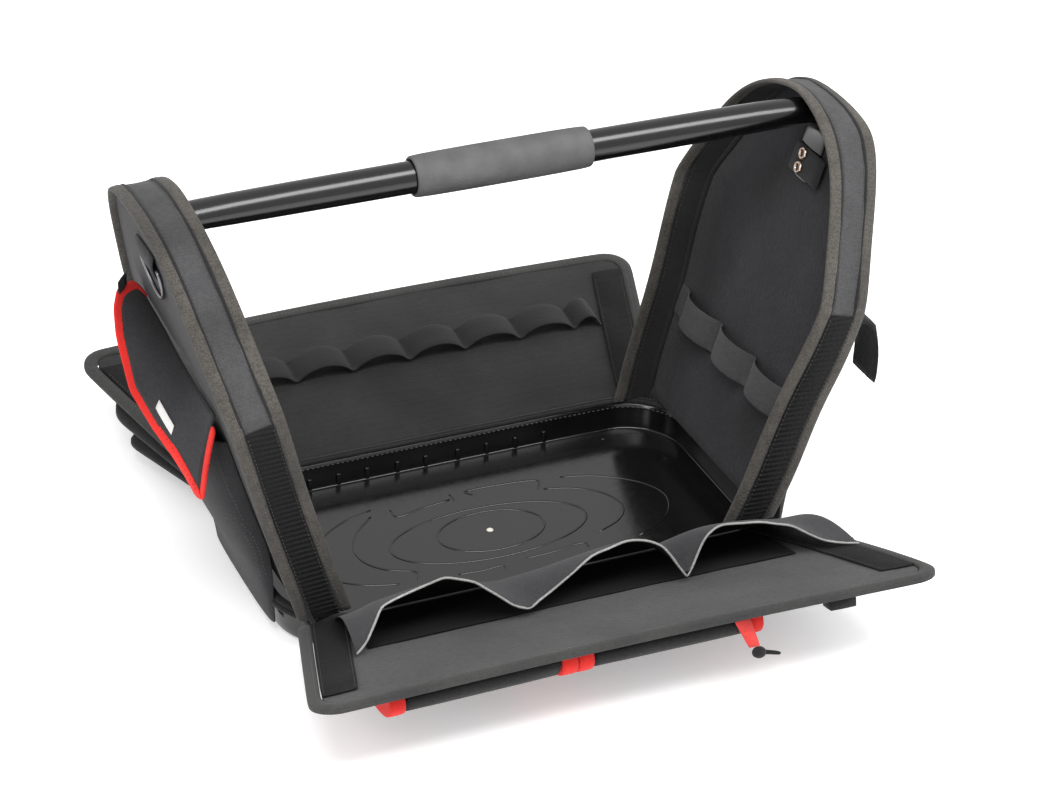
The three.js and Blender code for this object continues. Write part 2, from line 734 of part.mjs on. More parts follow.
// Soft strip of loop fastener along one end of a flap's upper face
function loopStrip(flap, end) {
  const face = (lift) => steps(4, 2, flap.length - FLAP_CORNER * 0.9).map((out) => {
    const edge = flapHalf(flap, out, FLAP_BINDING + GAP);
    return [edge - LOOP_STRIP_WIDTH, edge].map((x) => flapPoint(flap, end.side * x, out, lift));
  });
  const low = FLAP_THICK / 2 + GAP;
  return wallBetween(face(low), face(low + LOOP_STRIP_THICK));
}

for (const flap of FLAPS) {
  addPiece(`${flap.name}_flap`, flapBoard(flap), 'cloth');
  addPiece(`${flap.name}_flap_binding`, flapBinding(flap), 'tape');
  for (const end of ENDS) {
    addPiece(`${flap.name}_flap_${end.name}_loop_strip`, loopStrip(flap, end), 'darkCloth');
  }
}

// Pockets: one sheet sewn down along the hinge and at four places of its hem
const POCKET_COLUMNS = 35;
const POCKET_ROWS = 5;
const POCKET_START = 6;
const POCKET_TAPER = 0.94;
const SEAM_BELLY = 15;
const OPEN_BELLY = 4;
const MOUTH_RISE = Math.max(...POCKET_HEM.map((row) => row.rise));
const POCKET_CLEAR = FLAP_THICK / 2 + LOOP_STRIP_THICK + GAP * 2;

// The hem turns about the hinge line by its rise, and the cloth bellies out below it
function pocketPoint(share, t) {
  const rise = readTable(POCKET_HEM, 'along', share, 'rise');
  const hemOut = POCKET_DEPTH * Math.cos(rad(rise));
  const hemLift = Math.max(POCKET_DEPTH * Math.sin(rad(rise)), POCKET_CLEAR);
  const belly = mix(SEAM_BELLY, OPEN_BELLY, rise / MOUTH_RISE) * Math.sin(Math.PI * t);
  const x = share * POCKET_HALF_SPAN * mix(POCKET_TAPER, 1, t);
  return flapPoint(FRONT, x, mix(POCKET_START, hemOut, t), mix(POCKET_CLEAR, hemLift, t) + belly);
}

const hemPlaces = steps(POCKET_COLUMNS, POCKET_HEM[0].along, 1);
addPiece('front_pocket_sheet', wallOn(steps(POCKET_ROWS).map((t) =>
  hemPlaces.map((share) => pocketPoint(share, t))), POCKET_CLOTH), 'cloth');

// Roll pouches under the front flap, bound with tape at both of their ends
const rollFloor = -FLAP_THICK / 2 - GAP;
const ROLL_SECTION = [
  { out: 0.0, drop: 0.0 },
  { out: 0.04, drop: 0.28 },
  { out: 0.3, drop: 0.75 },
  { out: 0.62, drop: 0.98 },
  { out: 0.82, drop: 1.0 },
  { out: 0.95, drop: 0.78 },
  { out: 1.0, drop: 0.4 },
  { out: 0.96, drop: 0.0 },
];

function rollRing(x, swell) {
  return ROLL_SECTION.map(({ out, drop }) => {
    const spread = mix(-swell, swell, out);
    const fall = drop * ROLL_DROP + (drop > 0 ? swell : 0);
    return flapPoint(FRONT, x, mix(ROLL_INNER, ROLL_OUTER, out) + spread, rollFloor - fall);
  });
}

for (const [n, name] of ['left', 'right'].entries()) {
  const start = ROLL_LEFT_START + n * (ROLL_LENGTH + GAP * 2);
  const finish = start + ROLL_LENGTH;
  const body = [start + ROLL_TRIM + GAP, finish - ROLL_TRIM - GAP];
  addPiece(`under_pouch_${name}`, loftRings(body.map((x) => rollRing(x, 0))), 'hook');
  const trims = [[start, start + ROLL_TRIM], [finish - ROLL_TRIM, finish]];
  trims.forEach((span, k) => {
    const trim = loftRings(span.map((x) => rollRing(x, ROLL_TRIM_SWELL)));
    addPiece(`under_pouch_${name}_trim_${k + 1}`, trim, 'red');
  });
}

// Ribbon tab and cord knot that hang at the right end of the roll pouches
const TAB_X = ROLL_LEFT_START + 2 * ROLL_LENGTH + GAP * 2 - ROLL_TRIM - TAB_WIDTH * 0.5;
const TAB_OUT = ROLL_OUTER + ROLL_TRIM_SWELL + GAP;
const tabFace = (out) => steps(3).map((t) => [-0.5, 0.5].map((half) => flapPoint(
  FRONT,
  TAB_X + half * TAB_WIDTH * mix(1, 0.7, t) + t * TAB_TURN,
  out,
  rollFloor - mix(TAB_TUCK, TAB_LENGTH, t),
)));
addPiece('pull_tab', wallBetween(tabFace(TAB_OUT), tabFace(TAB_OUT + TAB_THICK)), 'coral');

// Solid for the cutter and back again
function toSolid(geometry) {
  const plain = geometry.clone();
  plain.deleteAttribute('normal');
  plain.deleteAttribute('uv');
  const merged = mergeVertices(plain, 1e-4);
  return new wasm.Manifold(new wasm.Mesh({
    numProp: 3,
    vertProperties: merged.attributes.position.array,
    triVerts: new Uint32Array(merged.index.array),
  }));
}

function fromSolid(solid) {
  const mesh = solid.getMesh();
  const geometry = new THREE.BufferGeometry();
  geometry.setAttribute('position', new THREE.Float32BufferAttribute(mesh.vertProperties, 3));
  geometry.setIndex([...mesh.triVerts]);
  return geometry;
}

const knotDrop = rollFloor - TAB_LENGTH - KNOT_RADIUS - GAP * 2;
const knotCentre = flapPoint(FRONT, TAB_X + KNOT_SHIFT, TAB_OUT, knotDrop);
const knotBall = new THREE.SphereGeometry(KNOT_RADIUS, 12, 8);
knotBall.scale(1.25, 1, 1);
const knotTail = new THREE.CylinderGeometry(KNOT_CORD, KNOT_CORD, KNOT_TAIL, 8);
knotTail.rotateZ(rad(60));
knotTail.translate(KNOT_TAIL * 0.4, 0, -KNOT_CORD);
const knot = fromSolid(toSolid(knotBall).add(toSolid(knotTail)));
knot.translate(knotCentre.x, knotCentre.y, knotCentre.z);
addPiece('pull_knot', knot, 'hook');

// Short webbing end under the right corner of the front flap
const webEnd = (lift) => [ROLL_OUTER - WEB_END_DEPTH, ROLL_OUTER].map((out) =>
  [WEB_END_PLACE, WEB_END_PLACE + WEB_END_WIDTH].map((x) => flapPoint(FRONT, x, out, lift)));
addPiece('under_webbing_end', wallBetween(webEnd(rollFloor - WEB_END_DROP), webEnd(rollFloor)), 'hook');

// Elastic web sewn down at its joints and standing up in a loop between them
function elasticPlaces(joints, lead, tail) {
  const places = [{ along: joints[0] - lead, rise: 0 }];
  for (let n = 0; n < joints.length - 1; n += 1) {
    for (const t of steps(7, 0, 1).slice(0, -1)) {
      places.push({ along: mix(joints[n], joints[n + 1], t), rise: Math.sin(Math.PI * t) ** 0.6 });
    }
  }
  const last = joints[joints.length - 1];
  return [...places, { along: last, rise: 0 }, { along: last + tail, rise: 0 }];
}

const backLoopsStart = BACK_ELASTIC_END - BACK_LAST_LOOP - BACK_LOOP_PITCH * BACK_LOOP_COUNT;
const backJoints = [
  backLoopsStart - BACK_FIRST_LOOP,
  ...steps(BACK_LOOP_COUNT, backLoopsStart, BACK_ELASTIC_END - BACK_LAST_LOOP),
  BACK_ELASTIC_END,
];
const backPlaces = elasticPlaces(backJoints, 2, 2);
const backElastic = (lift) => [-0.5, 0.5].map((half) => backPlaces.map(({ along, rise }) => flapPoint(
  BACK,
  along,
  BACK_ELASTIC_PLACE + half * BACK_ELASTIC_WIDTH,
  FLAP_THICK / 2 + GAP + lift + rise * BACK_LOOP_RISE,
)));
addPiece('back_flap_elastic', wallBetween(backElastic(0), backElastic(ELASTIC_THICK)), 'cloth');

// Bellows pouch under the back flap: two bound leaves that fan out from the hinge
function bellowsLeaf(leaf, top) {
  const round = FLAP_CORNER * 0.6;
  const face = (lift) => steps(6, BELLOWS_START, leaf.reach).map((out) => {
    const into = Math.max(0, out - (leaf.reach - round)) / round;
    const half = mix(FLAP_HINGE_HALF, leaf.half, out / leaf.reach) - round * into ** 2;
    const sink = (leaf.sink * (out - BELLOWS_START)) / (leaf.reach - BELLOWS_START);
    return steps(6, -1, 1).map((share) => flapPoint(BACK, share * half, out, lift - sink));
  });
  return wallBetween(face(top), face(top - BELLOWS_THICK));
}

const leafTop = -FLAP_BINDING_THICK / 2 - GAP;
const leafStep = BELLOWS_THICK + GAP;
addPiece('back_bellows_upper', bellowsLeaf(UPPER_LEAF, leafTop), 'darkCloth');
addPiece('back_bellows_lower', bellowsLeaf(LOWER_LEAF, leafTop - leafStep), 'darkCloth');

// Elastic web on the right board's inner face: a flat start, then wide tool loops
const RIGHT = ENDS[0];
const endLoopsSpan = END_LOOP_PITCH * END_LOOP_COUNT;
const endJoints = steps(END_LOOP_COUNT, -END_LOOP_START, endLoopsSpan - END_LOOP_START);
const endPlaces = elasticPlaces(endJoints, END_ELASTIC_LEAD, END_ELASTIC_LEAD);
const endElastic = (inward) => [0, END_ELASTIC_WIDTH].map((up) => endPlaces.map(({ along, rise }) => {
  const out = BOARD_SETBACK - GAP - inward - rise * END_LOOP_RISE;
  return endPoint(RIGHT, END_ELASTIC_FOOT + up, -along, out);
}));
addPiece('right_board_elastic', wallBetween(endElastic(0), endElastic(ELASTIC_THICK)), 'tape');

// End pouches: a curved wall that stands off the board and the tray, open at its top
const TRAY_FACE = TRAY_HALF_LENGTH + HEM_MIDDLE + HEM_WIDTH / 2 + GAP * 2;

// Distance of the surface behind a pouch from the middle of the tote, at a height
function faceBehindPouch(end, height) {
  if (height < HEM_TOP + POUCH_WALL) return TRAY_FACE;
  const up = panelUpAt(end, height, BOARD_FACE);
  const board = Math.abs(endPoint(end, up, 0, BOARD_FACE).x) + GAP * 3;
  return height < HEM_TOP + TRAY_CORNER / 2 ? Math.max(board, TRAY_FACE) : board;
}

function endPouch(end, pouch) {
  const rows = steps(8, pouch.foot, pouch.top);
  return wallOn(rows.map((height) => {
    const share = (height - pouch.foot) / (pouch.top - pouch.foot);
    const depth = pouch.bulge * readTable(POUCH_BULGE, 'height', share, 'bulge');
    const behind = faceBehindPouch(end, height);
    return steps(14, 180, 0).map((a) => new THREE.Vector3(
      end.side * (behind + depth * Math.sin(rad(a)) ** pouch.square),
      pouch.half * Math.sign(Math.cos(rad(a))) * Math.abs(Math.cos(rad(a))) ** pouch.square,
      height,
    ));
  }), end.side * POUCH_WALL);
}

const LEFT = ENDS[1];
addPiece('left_pouch', endPouch(LEFT, LEFT_POUCH), 'cloth');
addPiece('right_pouch', endPouch(RIGHT, RIGHT_POUCH), 'cloth');

// Lid of the left pouch, sewn to the board along its fold and domed towards its lip
function lidEnds(share) {
  const read = (column) => readTable(LEFT_LID, 'across', share, column);
  const up = panelUpAt(LEFT, read('fold'), BOARD_FACE);
  const hang = new THREE.Vector3(-read('out'), 0, -read('drop'));
  const over = new THREE.Vector3(0, 1, 0).cross(hang).normalize();
  const seat = GAP * 2 + LID_THICK * Math.max(0, -over.x);
  const fold = endPoint(LEFT, up, share * LEFT_LID_HALF, BOARD_FACE + seat);
  return { fold, lip: fold.clone().add(hang), over };
}

function lidPoint(share, t, lift = 0) {
  const { fold, lip, over } = lidEnds(share);
  const dome = LID_DOME * (1 - 0.8 * share ** 2) * Math.sin(Math.PI * t);
  return fold.lerp(lip, t).addScaledVector(over, dome + lift);
}

const trimShare = (LID_TRIM_WIDTH / 2 + LID_TRIM_CLEAR) / LEFT_LID_HALF;
const lidEdge = (share) => {
  const { fold, lip } = lidEnds(share);
  return 1 - (LID_TRIM_WIDTH / 2 + LID_TRIM_CLEAR) / fold.distanceTo(lip);
};
const lidFace = (lift) => steps(12, 1 - trimShare, trimShare - 1).map((share) =>
  steps(6, 0, lidEdge(share)).map((t) => lidPoint(share, t, lift)));
addPiece('left_pouch_lid', wallBetween(lidFace(0), lidFace(-LID_THICK)), 'cloth');

// Tape round the lid's free edges: one end, the lip and the other end
const trimPath = [
  ...steps(3, 0.22, 0.85).map((t) => [1, t]),
  ...steps(14, 0.98, -0.98).map((share) => [share, 1]),
  ...steps(3, 0.85, 0.18).map((t) => [-1, t]),
];
const trimCentre = trimPath.map(([share, t]) => lidPoint(share, t, -LID_THICK / 2));
addPiece('left_pouch_lid_trim', loftRings(trimCentre.map((p, n) => {
  const before = trimCentre[Math.max(n - 1, 0)];
  const after = trimCentre[Math.min(n + 1, trimCentre.length - 1)];
  const along = after.clone().sub(before).normalize();
  const [share, t] = trimPath[n];
  const over = lidPoint(share, t, 1).sub(lidPoint(share, t)).normalize();
  const inward = new THREE.Vector3().crossVectors(over, along).normalize();
  const square = new THREE.Vector3().crossVectors(along, inward).normalize();
  const section = [[-1, -0.4], [0, -1], [1, -0.4], [1, 0.4], [0, 1], [-1, 0.4]];
  return section.map(([w, h]) => p.clone()
    .addScaledVector(inward, (w * LID_TRIM_WIDTH) / 2)
    .addScaledVector(square, (h * LID_TRIM_THICK) / 2));
})), 'red');

// Bare tag on the lid, and a short webbing tab at the lid's back corner
const tagFace = (lift) => steps(3, -0.34, -0.6).map((share) =>
  [0.66, 0.82].map((t) => lidPoint(share, t, lift)));
addPiece('left_pouch_tag', wallBetween(tagFace(GAP * 4), tagFace(GAP * 4 + TAG_THICK)), 'white');
const tabGrid = (shift) => [0.93, 0.81].map((share) => [0, SIDE_TAB_RISE].map((rise) =>
  lidPoint(share, 1).add(new THREE.Vector3(-shift, 0, LID_TRIM_THICK * 0.7 + rise))));
addPiece('left_pouch_tab', wallBetween(tabGrid(1), tabGrid(1 + SIDE_TAB_THICK)), 'hook');

// Closure strap of the right pouch, stiff enough to stand off and curl down
const strapFace = (extra) => RIGHT_STRAP.map(({ out, drop }) => [-0.5, 0.5].map((half) => endPoint(
  RIGHT,
  RIGHT_STRAP_HEIGHT - drop - extra,
  RIGHT_STRAP_PLACE + half * RIGHT_STRAP_WIDTH,
  BOARD_FACE + GAP + out,
)));
addPiece('right_pouch_strap', wallBetween(strapFace(0), strapFace(RIGHT_STRAP_THICK)), 'darkCloth');

export default group;
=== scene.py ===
# Open top tool tote, standing open on a pale floor: a moulded tray, two padded end
# panels with a tubular handle between them, a flap lying open front and back, and
# pouches on the outer faces. Metres, +Z up, X along the handle.
import math

import bmesh
import bpy
from mathutils import Matrix, Vector
from mathutils.bvhtree import BVHTree


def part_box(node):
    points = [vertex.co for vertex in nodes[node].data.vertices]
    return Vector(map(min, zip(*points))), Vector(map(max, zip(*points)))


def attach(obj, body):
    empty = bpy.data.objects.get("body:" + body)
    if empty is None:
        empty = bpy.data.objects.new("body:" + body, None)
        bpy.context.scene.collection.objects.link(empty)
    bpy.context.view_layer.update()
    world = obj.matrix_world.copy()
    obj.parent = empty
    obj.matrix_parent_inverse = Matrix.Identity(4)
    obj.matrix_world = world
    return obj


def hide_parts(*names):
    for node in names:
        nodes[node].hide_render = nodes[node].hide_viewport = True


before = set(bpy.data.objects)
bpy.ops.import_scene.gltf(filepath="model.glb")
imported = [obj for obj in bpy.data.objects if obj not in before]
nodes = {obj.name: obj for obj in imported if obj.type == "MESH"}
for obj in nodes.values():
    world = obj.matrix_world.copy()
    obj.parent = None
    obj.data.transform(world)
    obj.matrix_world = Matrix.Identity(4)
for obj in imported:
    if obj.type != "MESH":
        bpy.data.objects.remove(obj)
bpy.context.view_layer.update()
scene = bpy.context.scene


# Camera: a long lens at the photograph's angle, 30 degrees above the floor and to the
# left of the front, with a slight roll.
VIEW_TURN, VIEW_RISE, VIEW_ROLL = math.radians(23.5), math.radians(30.1), math.radians(0.9)
VIEW_DISTANCE = 2.9073
VIEW_FOCAL, PHOTO_WIDTH, PHOTO_HEIGHT, SENSOR = 3201.9, 1048, 792, 36.0
VIEW_AIM = Vector((0, 0, 0.15))
AIM_SHIFT = Vector((-0.03042, 0.00045, 0))

view_back = Vector((
    -math.sin(VIEW_TURN) * math.cos(VIEW_RISE),
    -math.cos(VIEW_TURN) * math.cos(VIEW_RISE),
    math.sin(VIEW_RISE),
))
view_right = Vector((math.cos(VIEW_TURN), -math.sin(VIEW_TURN), 0))
view_up = view_back.cross(view_right)
roll_right = view_right * math.cos(VIEW_ROLL) + view_up * math.sin(VIEW_ROLL)
roll_up = view_up * math.cos(VIEW_ROLL) - view_right * math.sin(VIEW_ROLL)
lens = bpy.data.cameras.new("camera")
lens.sensor_width = SENSOR
lens.lens = VIEW_FOCAL / PHOTO_WIDTH * SENSOR
lens.clip_end = 20
camera = bpy.data.objects.new("camera", lens)
scene.collection.objects.link(camera)
eye = VIEW_AIM + view_back * VIEW_DISTANCE - roll_right * AIM_SHIFT.x - roll_up * AIM_SHIFT.y
turn = Matrix((roll_right, roll_up, view_back)).transposed()
camera.matrix_world = Matrix.Translation(eye) @ turn.to_4x4()
scene.camera = camera


# Floor and light: a white sheet that glows a little, as a light table does; a long soft
# lamp overhead in front draws the streak on the tube, and a window stands on either side.
scene.view_settings.view_transform = "Standard"


def linear(code):
    """sRGB hex to the linear colour that a shader takes."""
    parts = [int(code[i:i + 2], 16) / 255 for i in (1, 3, 5)]
    return tuple(c / 12.92 if c <= 0.04045 else ((c + 0.055) / 1.055) ** 2.4 for c in parts) + (1.0,)


def new_material(name):
    """An empty material with its tree, its output and its main shader."""
    material = bpy.data.materials.new(name)
    material.use_nodes = True
    tree = material.node_tree
    tree.nodes.clear()
    shader = tree.nodes.new("ShaderNodeBsdfPrincipled")
    output = tree.nodes.new("ShaderNodeOutputMaterial")
    tree.links.new(shader.outputs[0], output.inputs["Surface"])
    return material, tree, shader


def add(tree, kind, settings=None, **inputs):
    """Adds a node with its settings; an input is a value or another node's socket."""
    node = tree.nodes.new("ShaderNode" + kind)
    for key, value in (settings or {}).items():
        setattr(node, key, value)
    for key, value in inputs.items():
        name = key.replace("_", " ")
        socket = node.inputs[int(key[1:])] if key[0] == "i" and key[1:].isdigit() else node.inputs[name]
        if isinstance(value, bpy.types.NodeSocket):
            tree.links.new(value, socket)
        else:
            socket.default_value = value
    return node


def plain_mesh(name, form, material):
    """An object from a bmesh, with its normals turned outwards and smooth shading."""
    bmesh.ops.recalc_face_normals(form, faces=form.faces)
    mesh = bpy.data.meshes.new(name)
    form.to_mesh(mesh)
    form.free()
    mesh.materials.append(material)
    for face in mesh.polygons:
        face.use_smooth = True
    piece = bpy.data.objects.new(name, mesh)
    scene.collection.objects.link(piece)
    return piece


FLOOR_HALF, FLOOR_DROP = 6.0, 0.0005
floor_white, tree, shader = new_material("floor_white_paper")
shader.inputs["Base Color"].default_value = linear("#F0F0F0")
shader.inputs["Roughness"].default_value = 0.95
shader.inputs["Emission Color"].default_value = linear("#FFFFFF")
shader.inputs["Emission Strength"].default_value = 0.3
form = bmesh.new()
bmesh.ops.create_grid(form, x_segments=1, y_segments=1, size=FLOOR_HALF)
bmesh.ops.translate(form, verts=form.verts, vec=(0, 0, -FLOOR_DROP))
floor = plain_mesh("floor", form, floor_white)

LIGHTS = [
    {"name": "ceiling", "at": (0.1, -1.1, 2.35), "size": (3.0, 0.95), "power": 80},
    {"name": "right_window", "at": (2.4, -1.0, 1.7), "size": (1.0, 1.6), "power": 26},
    {"name": "left_window", "at": (-2.3, -1.3, 1.5), "size": (1.0, 1.6), "power": 24},
]
for row in LIGHTS:
    lamp = bpy.data.lights.new(row["name"], "AREA")
    lamp.shape = "RECTANGLE"
    lamp.size, lamp.size_y = row["size"]
    lamp.energy = row["power"]
    holder = bpy.data.objects.new(row["name"], lamp)
    scene.collection.objects.link(holder)
    place = Vector(row["at"])
    aim = (VIEW_AIM - place).to_track_quat("-Z", "Y")
    holder.matrix_world = Matrix.Translation(place) @ aim.to_matrix().to_4x4()
world = bpy.data.worlds.new("studio")
world.use_nodes = True
scene.world = world
world.node_tree.nodes["Background"].inputs["Color"].default_value = linear("#FFFFFF")
world.node_tree.nodes["Background"].inputs["Strength"].default_value = 0.9


# Cloths: heavy woven polyester for boards, flaps, lid and pouches, a closer padded
# weave on the rims, ribbed tape for bindings, and a brushed pile on the strips. The real
# threads lie 0.6 mm apart, too fine to show, so they are drawn coarser.
THREAD = 0.0016
CLOTH_GLOSS = 0.25


def mottle(tree, low, high, scale):
    """A soft change between two colours over the surface."""
    place = add(tree, "TexCoord")
    noise = add(tree, "TexNoise", Vector=place.outputs["Object"], Scale=scale, Detail=3.0)
    ramp = add(tree, "ValToRGB", i0=noise.outputs[0])
    ramp.color_ramp.elements[0].position = 0.3
    ramp.color_ramp.elements[1].position = 0.7
    ramp.color_ramp.elements[0].color = linear(low)
    ramp.color_ramp.elements[1].color = linear(high)
    return ramp.outputs[0]


def thread_height(tree, pitch):
    """Height of a weave: a bump where threads cross, a pitch apart, with an uneven grain."""
    place = add(tree, "TexCoord")
    grain = add(tree, "TexNoise", Vector=place.outputs["Object"], Scale=0.35 / pitch, Detail=2.0)
    cells = add(tree, "TexVoronoi", Vector=place.outputs["Object"], Scale=1 / pitch, Randomness=0.55)
    mixed = add(tree, "Math", {"operation": "MULTIPLY_ADD"}, i0=grain.outputs[0], i1=0.8, i2=cells.outputs[0])
    return mixed.outputs[0]


def cloth_material(name, low, high, pitch, height, sheen=0.06, speck=0.35):
    """Woven cloth: mottled dye, light and dark threads, and their bump."""
    material, tree, shader = new_material(name)
    weave = thread_height(tree, pitch)
    dye = mottle(tree, low, high, 14.0)
    level = add(tree, "MapRange", Value=weave, i1=0.25, i2=1.1, i3=1 - speck, i4=1 + speck)
    tint = add(tree, "Mix", {"data_type": "RGBA", "blend_type": "MULTIPLY"}, Factor=1.0)
    tree.links.new(dye, tint.inputs[6])
    tree.links.new(level.outputs[0], tint.inputs[7])
    bump = add(tree, "Bump", Strength=0.75, Distance=height, Height=weave)
    tree.links.new(tint.outputs[2], shader.inputs["Base Color"])
    tree.links.new(bump.outputs[0], shader.inputs["Normal"])
    shader.inputs["Roughness"].default_value = 0.9
    shader.inputs["Sheen Weight"].default_value = sheen
    shader.inputs["Sheen Roughness"].default_value = 0.6
    shader.inputs["Specular IOR Level"].default_value = CLOTH_GLOSS
    return material


board_cloth = cloth_material("polyester_600d_charcoal", "#0F0F11", "#1B1B1E", THREAD, 0.0007, speck=0.75)
# The two flaps are one grey cloth in two copies: the front flap's is painted lighter and the back flap's
# darker, painted light and shade for the lamp in front.
front_flap_lit_cloth = cloth_material("polyester_600d_painted_light", "#2E2E2F", "#373738", THREAD, 0.0005)
lining_cloth = cloth_material("rim_lining_black", "#0E0E0F", "#19191A", THREAD, 0.0004)
back_flap_shaded_cloth = cloth_material("polyester_600d_painted_shade", "#161616", "#202020", THREAD, 0.0005)
pocket_cloth = cloth_material("polyester_600d_pocket", "#222224", "#2D2D2F", THREAD, 0.0005)
pouch_cloth = cloth_material("polyester_600d_black", "#1B1B1D", "#28282A", THREAD, 0.0005)
rim_cloth = cloth_material("padded_oxford_grey", "#2B2B2C", "#3A3A3B", THREAD, 0.0004, speck=0.3)
tape_cloth = cloth_material("binding_tape_warm_grey", "#2F2D2A", "#403D39", THREAD * 1.3, 0.0007, speck=0.45)
edge_tape = cloth_material("flap_binding_grey", "#242424", "#2F2F2E", THREAD, 0.0006, speck=0.3)
black_web = cloth_material("webbing_black", "#0D0D0E", "#161617", THREAD, 0.0006, speck=0.4)
dark_web = cloth_material("webbing_dark_grey", "#161617", "#202021", THREAD, 0.0006, speck=0.4)
elastic_cloth = cloth_material("knit_elastic_grey", "#29292A", "#343434", THREAD * 0.9, 0.0005, speck=0.3)
elastic_black = cloth_material("knit_elastic_black", "#131314", "#1C1C1D", THREAD * 0.9, 0.0005, speck=0.3)
fluffy_strip = cloth_material(
    "loop_pile_black", "#060606", "#121213", THREAD * 1.2, 0.0006, speck=0.8, sheen=0.0,
)
red_tape = cloth_material("bias_tape_red", "#AE1A16", "#C6261F", THREAD, 0.0004, speck=0.12, sheen=0.05)
coral_ribbon = cloth_material("ribbon_coral", "#B3302C", "#C6443F", THREAD, 0.0004, speck=0.15)
thread_warm = cloth_material("sewing_thread_warm_grey", "#3F3C37", "#524E48", THREAD * 0.5, 0.0001)
thread_red = cloth_material("sewing_thread_red", "#8C0C13", "#9E1219", THREAD * 0.5, 0.0001)
thread_dark = cloth_material("sewing_thread_charcoal", "#2A2A2A", "#363636", THREAD * 0.5, 0.0001)
thread_pale = cloth_material("sewing_thread_pale", "#8A8780", "#A19E96", THREAD * 0.5, 0.0001)
hem_grey = cloth_material("folded_edge_light_grey", "#6C6C6B", "#858583", THREAD, 0.0003)
white_tag = cloth_material("tag_white_satin", "#B9B6B4", "#C6C3C1", THREAD, 0.0002, speck=0.05)


# How pieces are dressed: CAD nodes are welded and rounded, thread and edges are laid on
# the finished surfaces. Angles are in degrees.
WELD, JOIN_BEND, JOIN_SKEW, CREASE = 0.00002, 40, 60, 0.97
STITCH_LIFT = 0.0001


def smooth_copy(node, name, material, levels=2, crease_angle=None):
    """A merged copy of a CAD node, its triangles joined to quads, rounded by subdivision."""
    form = bmesh.new()
    form.from_mesh(nodes[node].data)
    bmesh.ops.remove_doubles(form, verts=form.verts, dist=WELD)
    bmesh.ops.join_triangles(
        form, faces=form.faces, angle_face_threshold=math.radians(JOIN_BEND),
        angle_shape_threshold=math.radians(JOIN_SKEW), cmp_seam=False, cmp_sharp=False, cmp_uvs=False,
        cmp_vcols=False, cmp_materials=False,
    )
    if crease_angle is not None:
        layer = form.edges.layers.float.new("crease_edge")
        for edge in form.edges:
            if len(edge.link_faces) == 2 and edge.calc_face_angle() > math.radians(crease_angle):
                edge[layer] = CREASE
    piece = plain_mesh(name, form, material)
    if levels:
        rounding = piece.modifiers.new("rounding", "SUBSURF")
        rounding.levels = rounding.render_levels = levels
    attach(piece, "root")
    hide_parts(node)
    return piece


def soften(piece, size, strength, level=0.5):
    """Small uneven swells of stuffed cloth, laid over the finished surface."""
    swell = bpy.data.textures.new(f"{piece.name}_swell", "CLOUDS")
    swell.noise_scale = size
    swell.noise_depth = 1
    ripple = piece.modifiers.new("swell", "DISPLACE")
    ripple.texture = swell
    ripple.texture_coords = "LOCAL"
    ripple.strength = strength
    ripple.mid_level = level


def finished_surface(piece):
    """The piece's surface as it will be seen, for laying thread and edges on it."""
    bpy.context.view_layer.update()
    return BVHTree.FromObject(piece, bpy.context.evaluated_depsgraph_get())


def spaced(points, pitch):
    """Places a pitch apart along a line of points, each with the line's direction."""
    places = []
    left = pitch / 2
    for a, b in zip(points, points[1:]):
        span = (b - a).length
        while left < span:
            places.append((a.lerp(b, left / span), (b - a).normalized()))
            left += pitch
        left -= span
    return places


def rounded(points, parts=6):
    """A smooth line through points, bent as a flexible rule bends."""
    ends = [points[0] * 2 - points[1]] + list(points) + [points[-1] * 2 - points[-2]]
    line = []
    for a, b, c, d in zip(ends, ends[1:], ends[2:], ends[3:]):
        for n in range(parts):
            t = n / parts
            line.append(0.5 * (b * 2 + (c - a) * t + (a * 2 - b * 5 + c * 4 - d) * t * t
                               + (b * 3 - a - c * 3 + d) * t ** 3))
    return line + [points[-1]]


def sewn(name, surface, lines, thread, pitch=0.0042, length=0.0027, width=0.0009):
    """Rows of stitches on a surface: one small rounded lump of thread for each."""
    form = bmesh.new()
    for line in lines:
        for place, along in spaced(line, pitch):
            seat, normal, _, _ = surface.find_nearest(place)
            along = (along - normal * along.dot(normal)).normalized()
            turn = Matrix((along, normal.cross(along), normal)).transposed().to_4x4()
            size = Matrix.Diagonal((length / 2, width / 2, width / 2.4, 1))
            bmesh.ops.create_icosphere(
                form, subdivisions=1, radius=1,
                matrix=Matrix.Translation(seat + normal * STITCH_LIFT) @ turn @ size,
            )
    row = plain_mesh(name, form, thread)
    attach(row, "root")
    return row


def swept(name, lines, radius, material, closed=False):
    """Round beads along lines, made as curves with a round section and turned to a mesh."""
    curve = bpy.data.curves.new(name, "CURVE")
    curve.dimensions = "3D"
    curve.bevel_depth = radius
    curve.bevel_resolution = 1
    curve.use_fill_caps = True
    for line in lines:
        spline = curve.splines.new("POLY")
        spline.points.add(len(line) - 1)
        for point, place in zip(spline.points, line):
            point.co = (*place, 1)
        spline.use_cyclic_u = closed
    holder = bpy.data.objects.new(f"{name}_path", curve)
    scene.collection.objects.link(holder)
    bpy.context.view_layer.update()
    mesh = bpy.data.meshes.new_from_object(holder.evaluated_get(bpy.context.evaluated_depsgraph_get()))
    bpy.data.objects.remove(holder)
    form = bmesh.new()
    form.from_mesh(mesh)
    bmesh.ops.remove_doubles(form, verts=form.verts, dist=WELD / 2)
    bead = plain_mesh(name, form, material)
    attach(bead, "root")
    return bead


def seen_on(surface, pixels):
    """Places on a surface that show at pixels of the photograph."""
    places = []
    for u, v in pixels:
        aside, down = (u - PHOTO_WIDTH / 2) / VIEW_FOCAL, (v - PHOTO_HEIGHT / 2) / VIEW_FOCAL
        ray = (roll_right * aside - roll_up * down - view_back).normalized()
        places.append(surface.ray_cast(eye, ray)[0])
    return places


